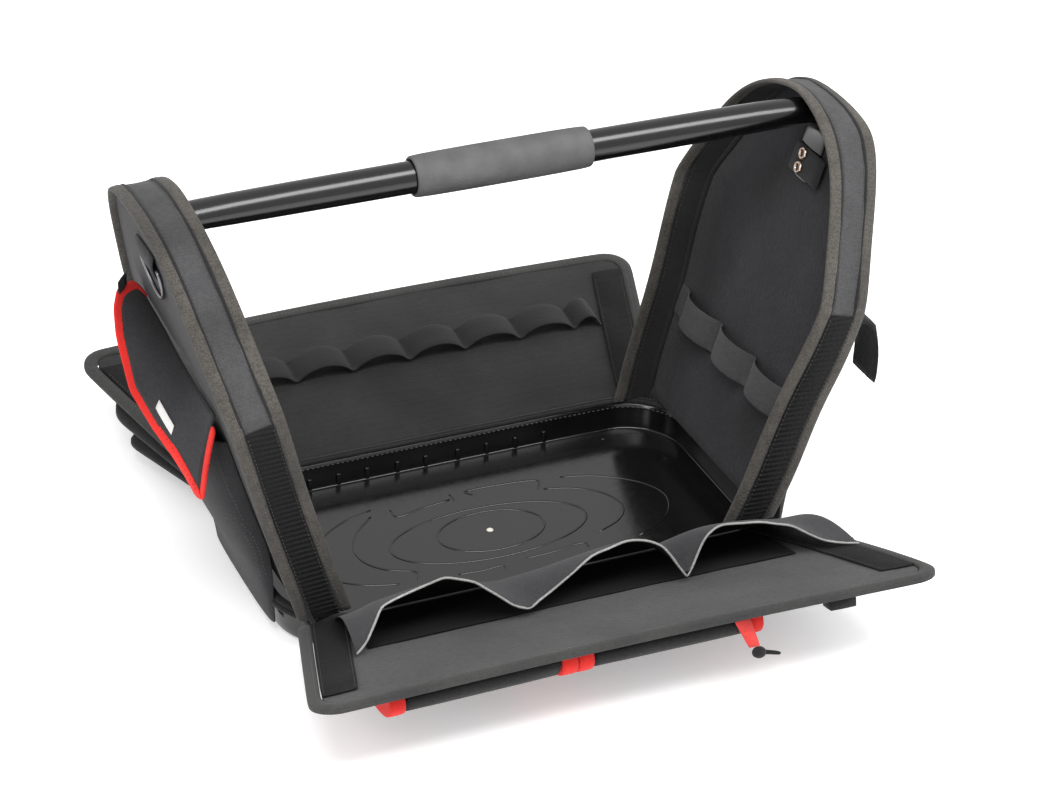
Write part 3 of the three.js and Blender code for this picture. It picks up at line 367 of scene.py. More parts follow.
# End panels: foam strips cased in oxford cloth and stood on edge round a cloth-faced
# board, both of their edges bound with ribbed tape, hook strips sewn to their legs, and
# the seams between strip, tape and board closed by allowances of the black lining.
def strip_material(name, low, high, rib):
    """Hook strip: rows of tiny hooks across the band, one row every rib."""
    material, tree, shader = new_material(name)
    place = add(tree, "TexCoord")
    wave = add(tree, "TexWave", {"wave_type": "BANDS", "bands_direction": "Z"},
               Vector=place.outputs["Object"], Scale=0.314 / rib, Distortion=0.6,
               Detail=2.0, Detail_Scale=6.0)
    cells = add(tree, "TexVoronoi", Vector=place.outputs["Object"], Scale=1 / (rib * 0.55))
    height = add(tree, "Math", {"operation": "MULTIPLY_ADD"}, i0=cells.outputs[0], i1=0.5, i2=wave.outputs[1])
    ramp = add(tree, "ValToRGB", i0=height.outputs[0])
    ramp.color_ramp.elements[0].color = linear(low)
    ramp.color_ramp.elements[1].color = linear(high)
    bump = add(tree, "Bump", Strength=0.8, Distance=0.0012, Height=height.outputs[0])
    tree.links.new(ramp.outputs[0], shader.inputs["Base Color"])
    tree.links.new(bump.outputs[0], shader.inputs["Normal"])
    shader.inputs["Roughness"].default_value = 0.85
    shader.inputs["Specular IOR Level"].default_value = CLOTH_GLOSS
    return material


HOOK_RIB = 0.0052
hook_strip = strip_material("hook_strip_black", "#020202", "#0E0E0F", HOOK_RIB)

# Each end's side, with the lean of its panel at the foot and at the top, in degrees. The
# rest is in millimetres, and ARCH_ROWS has shares: height, inner and outer half width.
PANEL_LEAN = {"right": (1, 17.6, 17.6), "left": (-1, 18.3, 12.4)}
PANEL_FOOT_OUT, PANEL_FOOT_UP = 179.7, 35.6
PANEL_HEIGHT, PANEL_HALF, RIM_DEPTH = 388.5, 150.5, 48
ARCH_ROWS = [
    (0.0, 0.807, 0.83), (0.107, 0.85, 0.87), (0.223, 0.867, 0.897), (0.357, 0.894, 0.91),
    (0.468, 0.95, 0.968), (0.597, 1.0, 0.987), (0.659, 0.963, 0.95), (0.752, 0.844, 0.824),
    (0.85, 0.711, 0.7), (0.922, 0.548, 0.585), (0.969, 0.346, 0.465), (0.992, 0.146, 0.3),
    (1.0, 0.0, 0.0),
]


def end_point(end, up, across, out):
    """Place on an end panel, in its own millimetres: up its slope, across it, and outwards."""
    side, foot, top = PANEL_LEAN[end]
    turn = math.radians(foot + (top - foot) * up / (2 * PANEL_HEIGHT))
    lean = math.radians(foot + (top - foot) * up / PANEL_HEIGHT)
    return Vector((
        side * (PANEL_FOOT_OUT + up * math.sin(turn) + out * math.cos(lean)),
        across,
        PANEL_FOOT_UP + up * math.cos(turn) - out * math.sin(lean),
    )) / 1000


def arch_line(end, out, offset):
    """Line round the arch of an end panel, a little outside (or inside) its outline."""
    share = out / RIM_DEPTH
    flat = [
        Vector(((inner + (outer - inner) * share) * PANEL_HALF, height * PANEL_HEIGHT, 0))
        for height, inner, outer in ARCH_ROWS
    ]
    flat = rounded(flat + [Vector((-p.x, p.y, 0)) for p in reversed(flat[:-1])], 4)
    line = []
    for n, p in enumerate(flat):
        along = (flat[min(n + 1, len(flat) - 1)] - flat[max(n - 1, 0)]).normalized()
        line.append(end_point(end, p.y - along.x * offset, p.x + along.y * offset, out))
    return line


# Seams as distances out from the rim's inner edge, and offsets from the arch's outline
OUTER_FACE, INNER_FACE, ARCH_MIDDLE = 4.0, -8.0, 0.2
TAPE_SEAM, RIM_SEAM, LINING_SEAM = 7.5, 14, 15
ALLOWANCE_OUT, ALLOWANCE_IN, ALLOWANCE_BEAD = 11.2, -1.6, 0.0021
BOARD_SEAMS, BOARD_SEAM_IN, BOARD_SEAM_BEAD = (40, 36), -4.6, 0.0026
BOARD_CORNER, CORNER_BEAD = [(11, 100), (16, 110), (20, 119), (6, 117)], 0.0034
HOOK_SEAMS, HOOK_FACE, HOOK_END = (12.5, 35.5), 2.5, 0.004
HOOK_TOP, HOOK_ASIDE, HOOK_CROSS = 233.5, 148, (12, 20, 28, 36)
for end in ("left", "right"):
    board = smooth_copy(f"{end}_end_board", f"{end}_board_cloth", board_cloth, 1, 30)
    board.data.materials.append(pouch_cloth)
    for face in board.data.polygons:
        if face.normal.x * PANEL_LEAN[end][0] > 0.5:
            face.material_index = 1
    rim = smooth_copy(f"{end}_rim", f"{end}_padded_rim", rim_cloth, 3, 60)
    rim.data.materials.append(lining_cloth)
    for face in rim.data.polygons:
        if face.normal.dot(Vector((0, -face.center.y, ARCH_MIDDLE - face.center.z))) > 0:
            face.material_index = 1
    soften(rim, 0.03, 0.0026, 0.6)
    inner = smooth_copy(f"{end}_inner_binding", f"{end}_inner_tape", tape_cloth, 2, 50)
    outer = smooth_copy(f"{end}_outer_binding", f"{end}_outer_tape", tape_cloth, 2, 50)
    inner_skin, outer_skin = finished_surface(inner), finished_surface(outer)
    sewn(f"{end}_inner_tape_stitches", inner_skin, [
        arch_line(end, TAPE_SEAM, OUTER_FACE), arch_line(end, TAPE_SEAM, INNER_FACE),
    ], thread_warm)
    sewn(f"{end}_outer_tape_stitches", outer_skin, [
        arch_line(end, RIM_DEPTH - TAPE_SEAM, OUTER_FACE),
    ], thread_warm)
    swept(f"{end}_rim_seam_allowance", [
        arch_line(end, out, ALLOWANCE_IN)[1:-1] for out in (ALLOWANCE_OUT, RIM_DEPTH - ALLOWANCE_OUT)
    ], ALLOWANCE_BEAD, lining_cloth)
    swept(f"{end}_board_seam_allowance", [arch_line(end, out, BOARD_SEAM_IN) for out in BOARD_SEAMS],
          BOARD_SEAM_BEAD, lining_cloth)
    swept(f"{end}_board_corner_binding", [
        [end_point(end, up, way * across, BOARD_SEAMS[0]) for up, across in BOARD_CORNER] for way in (-1, 1)
    ], CORNER_BEAD, lining_cloth)
    sewn(f"{end}_rim_stitches", finished_surface(rim), [
        arch_line(end, RIM_SEAM, OUTER_FACE), arch_line(end, RIM_DEPTH - RIM_SEAM, OUTER_FACE),
        arch_line(end, LINING_SEAM, INNER_FACE),
    ], thread_dark, width=0.0007)
    for leg, way in (("back", 1), ("front", -1)):
        hooks = smooth_copy(f"{end}_{leg}_hook_strip", f"{end}_{leg}_hooks", hook_strip, 1, 50)
        hook_skin = finished_surface(hooks)
        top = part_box(f"{end}_{leg}_hook_strip")[1][2] - HOOK_END
        rows = [
            [p for p in arch_line(end, out, HOOK_FACE) if p.y * way > 0 and p.z < top] for out in HOOK_SEAMS
        ]
        sewn(f"{end}_{leg}_hook_stitches", hook_skin, rows, thread_dark, width=0.0008)
        cross = [end_point(end, HOOK_TOP, way * HOOK_ASIDE, out) for out in HOOK_CROSS]
        sewn(f"{end}_{leg}_hook_top_stitches", hook_skin, [cross], thread_pale, width=0.0011)


# Tray: one dish of black ABS, injection moulded and polished inside, with ovals and lines
# raised on its floor and short ribs on its long walls; webbing is sewn on as its hem, and
# a black webbing skirt closes the gap behind it.
def polished_abs(name, colour, roughness, ripple):
    """Glossy moulded plastic with a slightly wavy skin."""
    material, tree, shader = new_material(name)
    place = add(tree, "TexCoord")
    noise = add(tree, "TexNoise", Vector=place.outputs["Object"], Scale=9.0, Detail=2.0)
    bump = add(tree, "Bump", Strength=0.25, Distance=ripple, Height=noise.outputs[0])
    grain = add(tree, "TexNoise", Vector=place.outputs["Object"], Scale=160.0, Detail=3.0)
    rough = add(tree, "MapRange", Value=grain.outputs[0], i1=0.3, i2=0.7,
                i3=roughness * 0.8, i4=roughness * 1.3)
    tree.links.new(rough.outputs[0], shader.inputs["Roughness"])
    tree.links.new(bump.outputs[0], shader.inputs["Normal"])
    shader.inputs["Base Color"].default_value = linear(colour)
    shader.inputs["IOR"].default_value = 1.54
    return material


tray_abs = polished_abs("moulded_abs_black", "#0D0D0E", 0.16, 0.0006)
tray = smooth_copy("base_tray", "moulded_tray", tray_abs, 2, 35)
smooth_copy("tray_hem", "tray_edge_hem", dark_web, 1)
tray_skin = finished_surface(tray)
CORNER_STEPS = 8


def tray_ring(half, deep, corner, level):
    """Places round the tray at one level, from millimetres, with round corners."""
    line = []
    for sx, sy, start in ((1, 1, 0), (-1, 1, 90), (-1, -1, 180), (1, -1, 270)):
        for n in range(CORNER_STEPS + 1):
            a = math.radians(start + n * 90 / CORNER_STEPS)
            line.append(Vector((
                sx * (half - corner) + corner * math.cos(a),
                sy * (deep - corner) + corner * math.sin(a), level,
            )) / 1000)
    return line


# Rings round the tray: half length, half width, corner radius and level
WALL_STITCHES = (231, 124, 58, 30.5)
SKIRT_RINGS, SKIRT_BEAD = [(236.5, 129.5, 64, 36), (239, 132, 66, 32.5)], 0.0032
WALL_STEP, STEP_BEAD = (233.2, 126.2, 58, 25.5), 0.0007
seam = tray_ring(*WALL_STITCHES)
sewn("tray_wall_stitches", tray_skin, [seam + seam[:1]], thread_warm, pitch=0.005, length=0.0032,
     width=0.0013)
swept("tray_skirt", [tray_ring(*ring) for ring in SKIRT_RINGS], SKIRT_BEAD, black_web, closed=True)
wall_step = swept("tray_wall_step", [tray_ring(*WALL_STEP)], STEP_BEAD, tray_abs, closed=True)

RELIEF_RADIUS, FLOOR_RISE = 0.0013, 0.008
FLOOR_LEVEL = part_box("base_tray")[0][2] + FLOOR_RISE
RELIEF_LEVEL = FLOOR_LEVEL - RELIEF_RADIUS * 0.45
FLOOR_OVALS = [(0, -5, 52, 33), (-3, -7, 97, 43)]
FLOOR_LINES = [
    [(-96, 58), (-118, 36), (-130, 12), (-129, -12), (-115, -31), (-91, -44), (-93, -57)],
    [(-75, 62), (-72, 49), (-44, 55), (-16, 59)],
    [(-13, 67), (-12, 54)],
    [(9, 57), (3, 67), (33, 67), (73, 61), (70, 47)],
    [(74, 44), (103, 34), (125, 14), (131, -12), (118, -32), (91, -45)],
    [(12, -61), (40, -60), (70, -56), (72, -67)],
    [(-56, -63), (-34, -65), (-14, -64), (-12, -72)],
    [(97, 58), (126, 49), (152, 33), (170, 13), (177, -9), (169, -33), (152, -50), (124, -64)],
    [(-92, 69), (-121, 60), (-147, 43), (-166, 20), (-174, -4)],
    [(-170, -22), (-159, -36), (-139, -49), (-112, -58)],
    [(162, 107), (180, 108), (196, 105), (212, 96), (221, 81), (225, 51), (226, 33)],
    [(-162, 107), (-180, 108), (-196, 105), (-212, 96), (-221, 81), (-225, 51), (-226, 33)],
]


def on_floor(x, y):
    """Middle of a raised line on the tray floor, from millimetres."""
    return Vector((x / 1000, y / 1000, RELIEF_LEVEL))


ovals = swept("tray_floor_ovals", [[
    on_floor(x + half * math.cos(math.radians(a)), y + deep * math.sin(math.radians(a)))
    for a in range(0, 360, 5)
] for x, y, half, deep in FLOOR_OVALS], RELIEF_RADIUS, tray_abs, closed=True)
relief = swept("tray_floor_relief", [rounded([on_floor(*p) for p in line], 5) for line in FLOOR_LINES],
               RELIEF_RADIUS, tray_abs)

WALL_RIBS = (-133, -104, -75, -44, -15, 18, 48, 78, 108)
RIB_ASIDE, RIB_LEVEL, RIB_SIZE = 123.5, 14, (0.0042, 0.0030, 0.013, 1)
form = bmesh.new()
for x in WALL_RIBS:
    for side in (1, -1):
        place = tray_skin.find_nearest(Vector((x, side * RIB_ASIDE, RIB_LEVEL)) / 1000)[0]
        bmesh.ops.create_cube(form, size=1, matrix=Matrix.Translation(place) @ Matrix.Diagonal(RIB_SIZE))
bmesh.ops.bevel(form, geom=form.edges[:], offset=0.0006, segments=2, profile=0.5, affect="EDGES", material=-1)
ribs = plain_mesh("tray_wall_ribs", form, tray_abs)
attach(ribs, "root")

gate_pale, tree, shader = new_material("moulding_gate_pale")
shader.inputs["Roughness"].default_value = 0.5
tree.links.new(mottle(tree, "#B9B4AA", "#D8D3C8", 400.0), shader.inputs["Base Color"])
GATE_PLACE, GATE_RADIUS, GATE_FLAT = Vector((-0.001, -0.004, FLOOR_LEVEL)), 0.0033, 0.35
form = bmesh.new()
bmesh.ops.create_uvsphere(
    form, u_segments=16, v_segments=8, radius=GATE_RADIUS,
    matrix=Matrix.Translation(GATE_PLACE) @ Matrix.Diagonal((1, 1, GATE_FLAT, 1)),
)
gate = plain_mesh("tray_moulding_gate", form, gate_pale)
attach(gate, "root")


# Handle: a steel tube bent at both ends, flattened where it is riveted to the boards
# through a webbing patch, coated gloss black, with a foam sleeve pushed on to its middle.
# A wire ring hangs from webbing on the outside of each board.
tube_steel, tree, shader = new_material("gloss_coated_steel_black")
place = add(tree, "TexCoord")
noise = add(tree, "TexNoise", Vector=place.outputs["Object"], Scale=60.0, Detail=4.0)
rough = add(tree, "MapRange", Value=noise.outputs[0], i1=0.3, i2=0.7, i3=0.2, i4=0.23)
tree.links.new(rough.outputs[0], shader.inputs["Roughness"])
shader.inputs["Base Color"].default_value = linear("#040405")
shader.inputs["IOR"].default_value = 1.56
smooth_copy("handle_tube", "carry_tube", tube_steel, 2)

foam, tree, shader = new_material("nitrile_foam_grey")
place = add(tree, "TexCoord")
cells = add(tree, "TexVoronoi", Vector=place.outputs["Object"], Scale=900.0)
noise = add(tree, "TexNoise", Vector=place.outputs["Object"], Scale=220.0, Detail=4.0)
height = add(tree, "Math", {"operation": "ADD"}, i0=cells.outputs[0], i1=noise.outputs[0])
bump = add(tree, "Bump", Strength=0.5, Distance=0.0005, Height=height.outputs[0])
tree.links.new(bump.outputs[0], shader.inputs["Normal"])
tree.links.new(mottle(tree, "#444444", "#515151", 50.0), shader.inputs["Base Color"])
shader.inputs["Roughness"].default_value = 0.7
shader.inputs["Specular IOR Level"].default_value = 0.3
smooth_copy("foam_grip", "foam_sleeve", foam, 2, 60)

rivet_metal, tree, shader = new_material("plated_steel_rivet")
place = add(tree, "TexCoord")
noise = add(tree, "TexNoise", Vector=place.outputs["Object"], Scale=700.0, Detail=2.0)
rough = add(tree, "MapRange", Value=noise.outputs[0], i1=0.3, i2=0.7, i3=0.18, i4=0.34)
tree.links.new(rough.outputs[0], shader.inputs["Roughness"])
shader.inputs["Base Color"].default_value = linear("#BCA698")
shader.inputs["Metallic"].default_value = 1.0
rivet_bore, tree, shader = new_material("rivet_bore_shadow")
tree.links.new(mottle(tree, "#17120F", "#2B211C", 500.0), shader.inputs["Base Color"])
shader.inputs["Roughness"].default_value = 0.6
RIVET_PROFILE = [
    (6.0, -0.2), (6.1, 0.8), (5.3, 1.9), (4.3, 2.2), (3.5, 1.8), (3.0, 1.0), (2.9, 0.5), (0.0, 0.4),
]
RIVET_FOOT, RIVET_STEP, RIVET_ASIDE, RIVET_OUT = 313, 14, 3, 31.5
RIVET_BORE = 0.0031


def rivet(end, n):
    """Rolled eyelet rivet: a rounded rim round a dark sunken middle, spun about its axis."""
    form = bmesh.new()
    corners = [form.verts.new((r / 1000, 0, h / 1000)) for r, h in RIVET_PROFILE]
    edges = [form.edges.new(pair) for pair in zip(corners, corners[1:])]
    bmesh.ops.spin(form, geom=corners + edges, cent=(0, 0, 0), axis=(0, 0, 1), dvec=(0, 0, 0),
                   angle=2 * math.pi, steps=28, use_merge=True)
    bmesh.ops.remove_doubles(form, verts=form.verts, dist=WELD)
    rim_edges = [e for e in form.edges if e.is_boundary]
    bmesh.ops.holes_fill(form, edges=rim_edges, sides=0)
    up = RIVET_FOOT + RIVET_STEP * n
    centre = end_point(end, up, RIVET_ASIDE, RIVET_OUT)
    inward = (centre - end_point(end, up, RIVET_ASIDE, RIVET_OUT + 1)).normalized()
    turn = inward.to_track_quat("Z", "Y").to_matrix().to_4x4()
    bmesh.ops.transform(form, verts=form.verts, matrix=Matrix.Translation(centre) @ turn)
    head = plain_mesh(f"{end}_rivet_dome_{n + 1}", form, rivet_metal)
    head.data.materials.append(rivet_bore)
    for face in head.data.polygons:
        if (face.center - centre).cross(inward).length < RIVET_BORE:
            face.material_index = 1
    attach(head, "root")
    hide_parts(f"{end}_rivet_{n + 1}")


ring_steel, tree, shader = new_material("blackened_steel_wire")
shader.inputs["Base Color"].default_value = linear("#6E6E72")
shader.inputs["Metallic"].default_value = 1.0
shader.inputs["Roughness"].default_value = 0.3
for end in ("left", "right"):
    smooth_copy(f"{end}_handle_patch", f"{end}_lug_patch", black_web, 1, 40)
    smooth_copy(f"{end}_ring_strap", f"{end}_ring_webbing", dark_web, 1, 50)
    smooth_copy(f"{end}_wire_ring", f"{end}_d_ring", ring_steel, 2)
    for n in (0, 1):
        rivet(end, n)


# Flaps: foam sheets between two cloths, edges folded into wide tape, with soft loop
# strips at their ends; they lie open, hinged on cloth along the tray's hem. Sizes are in
# millimetres and degrees.
FLAP_HINGE = Vector((235, 131.6, 35))
FLAP_SIZES = {
    "front": {"side": -1, "length": 209, "edge": 293, "tilt": 15, "slant": 6, "bow": -11, "flare": 9},
    "back": {"side": 1, "length": 219, "edge": 300, "tilt": 9.5, "slant": 2, "bow": 9, "flare": 0},
}
FLAP_CORNER, TOP_LIFT, TAPE_STITCH = 34, 8, 8.5
PILE_SEAMS, PILE_START, PILE_STEP = (15, 43), 6, 12


def flap_point(flap, x, out, lift):
    """Place on a flap, in its own millimetres: along X, out from its hinge, and above it."""
    size = FLAP_SIZES[flap]
    tilt, share, far = math.radians(size["tilt"]), x / size["edge"], out / size["length"]
    reach = out + far * (size["slant"] * share + size["bow"] * (1 - share ** 2))
    flare = size["flare"] * max(0, share) ** 2 * math.sin(math.pi * min(1, far))
    return Vector((
        x + flare,
        size["side"] * (FLAP_HINGE.y + reach * math.cos(tilt) - lift * math.sin(tilt)),
        FLAP_HINGE.z + reach * math.sin(tilt) + lift * math.cos(tilt),
    )) / 1000


def flap_half(flap, out):
    """Half width of a flap at a distance out from its hinge."""
    size = FLAP_SIZES[flap]
    return FLAP_HINGE.x + (size["edge"] - FLAP_HINGE.x) * out / size["length"]


def flap_edge(flap, inset, lift):
    """Line round a flap's free edges, moved inwards by an inset."""
    radius, base = FLAP_CORNER - inset, FLAP_SIZES[flap]["length"] - FLAP_CORNER
    right = [(flap_half(flap, base * n / 6) - inset, base * n / 6) for n in range(7)]
    for a in range(15, 91, 15):
        out = base + radius * math.sin(math.radians(a))
        right.append((flap_half(flap, out) - inset - radius + radius * math.cos(math.radians(a)), out))
    last, far = right[-1]
    across = [(last * (1 - n / 8), far) for n in range(1, 16)]
    left = [(-x, out) for x, out in reversed(right)]
    return [flap_point(flap, x, out, lift) for x, out in right + across + left]


# Front flap in the lighter copy of the grey cloth, back flap in the darker one: painted light and shade.
for flap, cloth in (("front", front_flap_lit_cloth), ("back", back_flap_shaded_cloth)):
    pad = smooth_copy(f"{flap}_flap", f"{flap}_flap_pad", cloth, 3, 60)
    soften(pad, 0.06, 0.0024, 0.85)
    tape = smooth_copy(f"{flap}_flap_binding", f"{flap}_flap_tape", edge_tape, 2, 50)
    sewn(f"{flap}_flap_tape_stitches", finished_surface(tape), [
        flap_edge(flap, TAPE_STITCH, lift) for lift in (TOP_LIFT, -TOP_LIFT)
    ], thread_warm, width=0.0008)
    for end, way in (("left", -1), ("right", 1)):
        pile = smooth_copy(f"{flap}_flap_{end}_loop_strip", f"{flap}_{end}_pile", fluffy_strip, 1, 50)
        stops = range(PILE_START, FLAP_SIZES[flap]["length"] - FLAP_CORNER, PILE_STEP)
        rows = [
            [flap_point(flap, way * (flap_half(flap, out) - inset), out, TOP_LIFT) for out in stops]
            for inset in PILE_SEAMS
        ]
        sewn(f"{flap}_{end}_pile_stitches", finished_surface(pile), rows, thread_dark, width=0.0008)
smooth_copy("back_bellows_upper", "bellows_leaf_upper", dark_web, 2, 60)
smooth_copy("back_bellows_lower", "bellows_leaf_lower", dark_web, 2, 60)


# Pockets and elastics: one sheet of cloth, folded at its hem, sewn to the front flap in four
# places, and two bands of knitted elastic sewn down between their tool loops. The inside
# of the pockets is painted shade: near black on the sheet's underside and on a sheet laid
# on the flap beneath it. POCKET_HEM has the hem's place along the sheet and its rise in degrees.
POCKET_DEEP, POCKET_SPAN, POCKET_CLEAR = 105, 252, 5.1
POCKET_HEM = [
    (-0.853, 2.5), (-0.801, 8.5), (-0.745, 22.3), (-0.669, 24.8), (-0.593, 26.8), (-0.497, 29.3),
    (-0.398, 23.9), (-0.321, 14.5), (-0.234, 3.2), (-0.18, 8.9), (-0.112, 13.2), (0.036, 24),
    (0.173, 27.5), (0.302, 24.2), (0.324, 11), (0.374, 2.5), (0.405, 8), (0.435, 21.5), (0.524, 25.4),
    (0.661, 23), (0.772, 18), (0.881, 7), (1.0, 2.5),
]
# Near-black cloth used as painted shade: it colours the pocket sheet's underside and a sheet on the flap
# beneath, where the deep pockets are dark.
pocket_shade_black = cloth_material("pocket_painted_shade_black", "#020203", "#050506", THREAD, 0.0003, sheen=0.0)
pockets = smooth_copy("front_pocket_sheet", "pocket_sheet", pocket_cloth, 2, 70)
pockets.data.materials.append(pocket_shade_black)
# Faces turned downwards take the painted shade.
for face in pockets.data.polygons:
    if face.normal.z < -0.1:
        face.material_index = 1
pocket_skin = finished_surface(pockets)
hem_line = []
for along, rise in POCKET_HEM:
    reach, lift = POCKET_DEEP * math.cos(math.radians(rise)), POCKET_DEEP * math.sin(math.radians(rise))
    hem_line.append(flap_point("front", along * POCKET_SPAN, reach, max(lift, POCKET_CLEAR)))
steps = []
for a, b in zip(hem_line, hem_line[1:]):
    steps += [a.lerp(b, n / 4) for n in range(4)]
hem_places = [pocket_skin.find_nearest(p)[0] for p in steps + hem_line[-1:]]
HEM_BEAD, HEM_SEAM, SHEET_AREA = 0.0011, Vector((0, 0.007, 0.002)), 0.0465
pocket_hem = swept("pocket_hem_edge", [rounded(hem_places[::2] + hem_places[-1:], 3)], HEM_BEAD, hem_grey)
sewn("pocket_hem_stitches", pocket_skin, [[p + HEM_SEAM for p in hem_places]], thread_dark, width=0.0008)

# A near-black sheet laid on the flap under the pocket mouths: painted shade for the dark inside of the
# pockets.
SHADE_SHEET_HALF, SHADE_SHEET_OUT, SHADE_SHEET_DEEP, SHADE_SHEET_LIFT = 200, 49, 43, 3.4
form = bmesh.new()
bmesh.ops.create_grid(form, x_segments=30, y_segments=6, size=1)
for corner in form.verts:
    x, out = corner.co.x * SHADE_SHEET_HALF, SHADE_SHEET_OUT + corner.co.y * SHADE_SHEET_DEEP
    corner.co = flap_point("front", x, out, SHADE_SHEET_LIFT)
pocket_shade_sheet = plain_mesh("pocket_floor_painted_shade", form, pocket_shade_black)
thick = pocket_shade_sheet.modifiers.new("cloth", "SOLIDIFY")
thick.thickness = 0.0006
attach(pocket_shade_sheet, "root")

elastic_back = smooth_copy("back_flap_elastic", "back_elastic", elastic_black, 2, 70)
BACK_JOINS, BACK_BAND, BACK_LIFT = (-162, -103, -44, 15, 74, 133, 192), (107, 135), 4
TACK_ASIDE = (-1.5, 1.5)
sewn("back_elastic_tacks", finished_surface(elastic_back), [
    [flap_point("back", x + aside, out, BACK_LIFT) for out in BACK_BAND]
    for x in BACK_JOINS for aside in TACK_ASIDE
], thread_dark, pitch=0.003, length=0.0024)
elastic_right = smooth_copy("right_board_elastic", "board_elastic", elastic_cloth, 2, 70)
RIGHT_JOINS, RIGHT_BAND, RIGHT_OUT = (111, 41, -29, -99), (105, 132), 34
sewn("board_elastic_tacks", finished_surface(elastic_right), [
    [end_point("right", up, y + aside, RIGHT_OUT) for up in RIGHT_BAND]
    for y in RIGHT_JOINS for aside in TACK_ASIDE
], thread_dark, pitch=0.003, length=0.0024)


# Pouches: two rolls under the front flap with red tape at their ends, a curved pouch on
# each outer face, a domed lid with red tape on the left one, a strap on the right one.
# Seams that only the photograph places are given as its pixels.
for side in ("left", "right"):
    smooth_copy(f"under_pouch_{side}", f"roll_{side}", black_web, 2, 70)
    for n in (1, 2):
        smooth_copy(f"under_pouch_{side}_trim_{n}", f"roll_{side}_tape_{n}", red_tape, 2, 70)
smooth_copy("pull_tab", "coral_pull", coral_ribbon, 1, 50)
smooth_copy("pull_knot", "cord_knot", black_web, 1)
smooth_copy("under_webbing_end", "webbing_end", black_web, 1, 50)
left_pouch = smooth_copy("left_pouch", "left_pouch_cloth", pouch_cloth, 2, 70)
pouch_skin = finished_surface(left_pouch)
POUCH_SEAMS = [
    [(213, 512), (226, 513), (240, 522), (252, 536), (260, 553), (266, 575)],
    [(212, 516), (225, 518), (237, 526), (248, 540), (256, 557), (261, 578)],
    [(216, 455), (221, 470), (228, 488), (236, 505), (243, 520)],
]
sewn("left_pouch_stitches", pouch_skin, [rounded(seen_on(pouch_skin, line)) for line in POUCH_SEAMS],
     thread_warm, width=0.0008)
smooth_copy("right_pouch", "right_pouch_cloth", pouch_cloth, 2, 70)

# The lid's shape: share across it, then its fold's height, its reach and its drop
LID_HALF, LID_DOME, LID_THICK, LID_CLEAR, BOARD_OUT = 86, 9, 2.5, 0.6, 42.6
LID_ROWS = [
    (1.0, 266, 10, -17), (0.88, 264, 25, -20), (0.7, 261, 34, -14), (0.49, 258, 39, -1), (0.02, 252, 42, 23),
    (-0.41, 247, 35, 38), (-0.63, 244, 28, 50), (-0.81, 242, 21, 66), (-1.0, 239, 16, 80),
]
# Steps in which the way up the board settles on the fold's height
LID_TRIES = 20


def lid_row(share):
    """Fold height, reach and drop of the lid at a place across it."""
    for high, low in zip(LID_ROWS, LID_ROWS[1:]):
        if share >= low[0]:
            t = (share - low[0]) / (high[0] - low[0])
            return [b + (a - b) * t for a, b in zip(high[1:], low[1:])]
    return LID_ROWS[-1][1:]


def lid_point(share, t, lift=0.0):
    """Place on the lid in metres: across it, from its fold to its lip, and above it."""
    height, out, drop = lid_row(share)
    up = 0.0
    for _ in range(LID_TRIES):
        up += height - end_point("left", up, 0, BOARD_OUT).z * 1000
    fold = end_point("left", up, share * LID_HALF, BOARD_OUT) * 1000
    outward = end_point("left", up, share * LID_HALF, BOARD_OUT + 1) * 1000 - fold
    hang = Vector((-out, 0, -drop))
    over = Vector((0, 1, 0)).cross(hang).normalized()
    fold += outward * (LID_CLEAR + LID_THICK * max(0, -over.x))
    dome = LID_DOME * (1 - 0.8 * share ** 2) * math.sin(math.pi * t)
    return (fold + hang * t + over * (dome + lift)) / 1000


LID_SIDE, LID_START, LID_SHARE = 0.975, 0.012, 0.48
form = bmesh.new()
bmesh.ops.create_grid(form, x_segments=48, y_segments=14, size=1)
for corner in form.verts:
    corner.co = lid_point(corner.co.x * LID_SIDE, LID_START + LID_SHARE * (corner.co.y + 1))
lid = plain_mesh("left_lid_cloth", form, pouch_cloth)
shell = lid.modifiers.new("cloth", "SOLIDIFY")
shell.thickness = 0.0022
shell.offset = -1 if sum(f.normal.z for f in lid.data.polygons) > 0 else 1
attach(lid, "root")
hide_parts("left_pouch_lid")

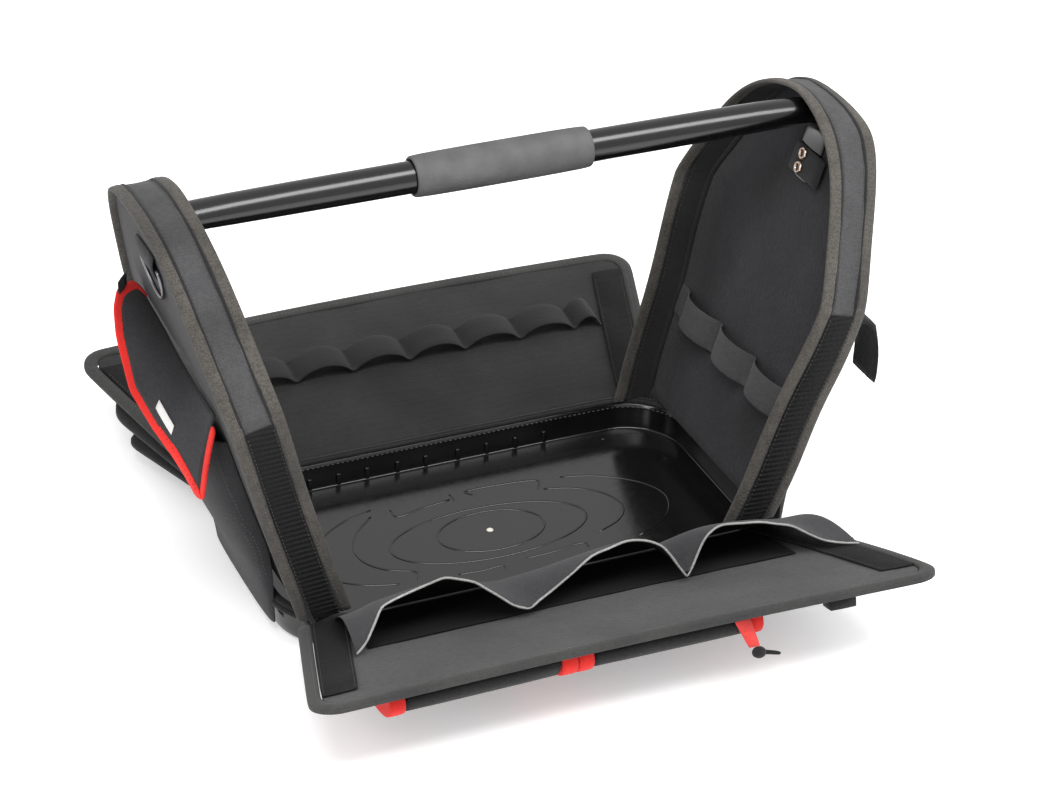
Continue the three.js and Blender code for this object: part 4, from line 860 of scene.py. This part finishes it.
# The tape goes down one side of the lid, along its lip and up the other side
LID_TAPE_HALF, LID_TAPE_THICK = 5.2, 3.4
TAPE_SECTION = [
    (-1, -0.5), (-0.85, -1), (0.85, -1), (1, -0.5), (1, 0.5), (0.85, 1), (-0.85, 1), (-1, 0.5),
]
edge_places = [(1, 0.10 + 0.8 * n / 7) for n in range(8)]
edge_places += [(1 - 2 * n / 44, 1) for n in range(1, 44)]
edge_places += [(-1, 0.97 - 0.85 * n / 8) for n in range(9)]
path = [lid_point(share, t, -LID_THICK / 2) for share, t in edge_places]
form = bmesh.new()
rings = []
for n, (place, (share, t)) in enumerate(zip(path, edge_places)):
    along = (path[min(n + 1, len(path) - 1)] - path[max(n - 1, 0)]).normalized()
    over = (lid_point(share, t, 1) - lid_point(share, t)).normalized()
    inward = over.cross(along).normalized() * LID_TAPE_HALF / 1000
    square = along.cross(inward).normalized() * LID_TAPE_THICK / 2000
    ring = [form.verts.new(place + inward * w + square * h) for w, h in TAPE_SECTION]
    rings.append([form.edges.new(pair) for pair in zip(ring, ring[1:] + ring[:1])])
for near, far in zip(rings, rings[1:]):
    bmesh.ops.bridge_loops(form, edges=near + far)
bmesh.ops.holes_fill(form, edges=[e for e in form.edges if e.is_boundary], sides=0)
lid_tape = plain_mesh("left_lid_tape", form, red_tape)
rounding = lid_tape.modifiers.new("rounding", "SUBSURF")
rounding.levels = rounding.render_levels = 1
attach(lid_tape, "root")
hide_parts("left_pouch_lid_trim")
STITCH_SHARE, STITCH_ABOVE = 0.955, 4
stitch_places = [
    (share * STITCH_SHARE, t * STITCH_SHARE if abs(share) < 1 else t) for share, t in edge_places
]
sewn("left_lid_tape_stitches", finished_surface(lid_tape), [
    [lid_point(share, t, STITCH_ABOVE) for share, t in stitch_places]
], thread_red, pitch=0.0045, width=0.0008)
smooth_copy("left_pouch_tag", "left_lid_tag", white_tag, 1, 50)
smooth_copy("left_pouch_tab", "left_lid_tab", black_web, 1, 50)
smooth_copy("right_pouch_strap", "right_closure_strap", black_web, 2, 50)
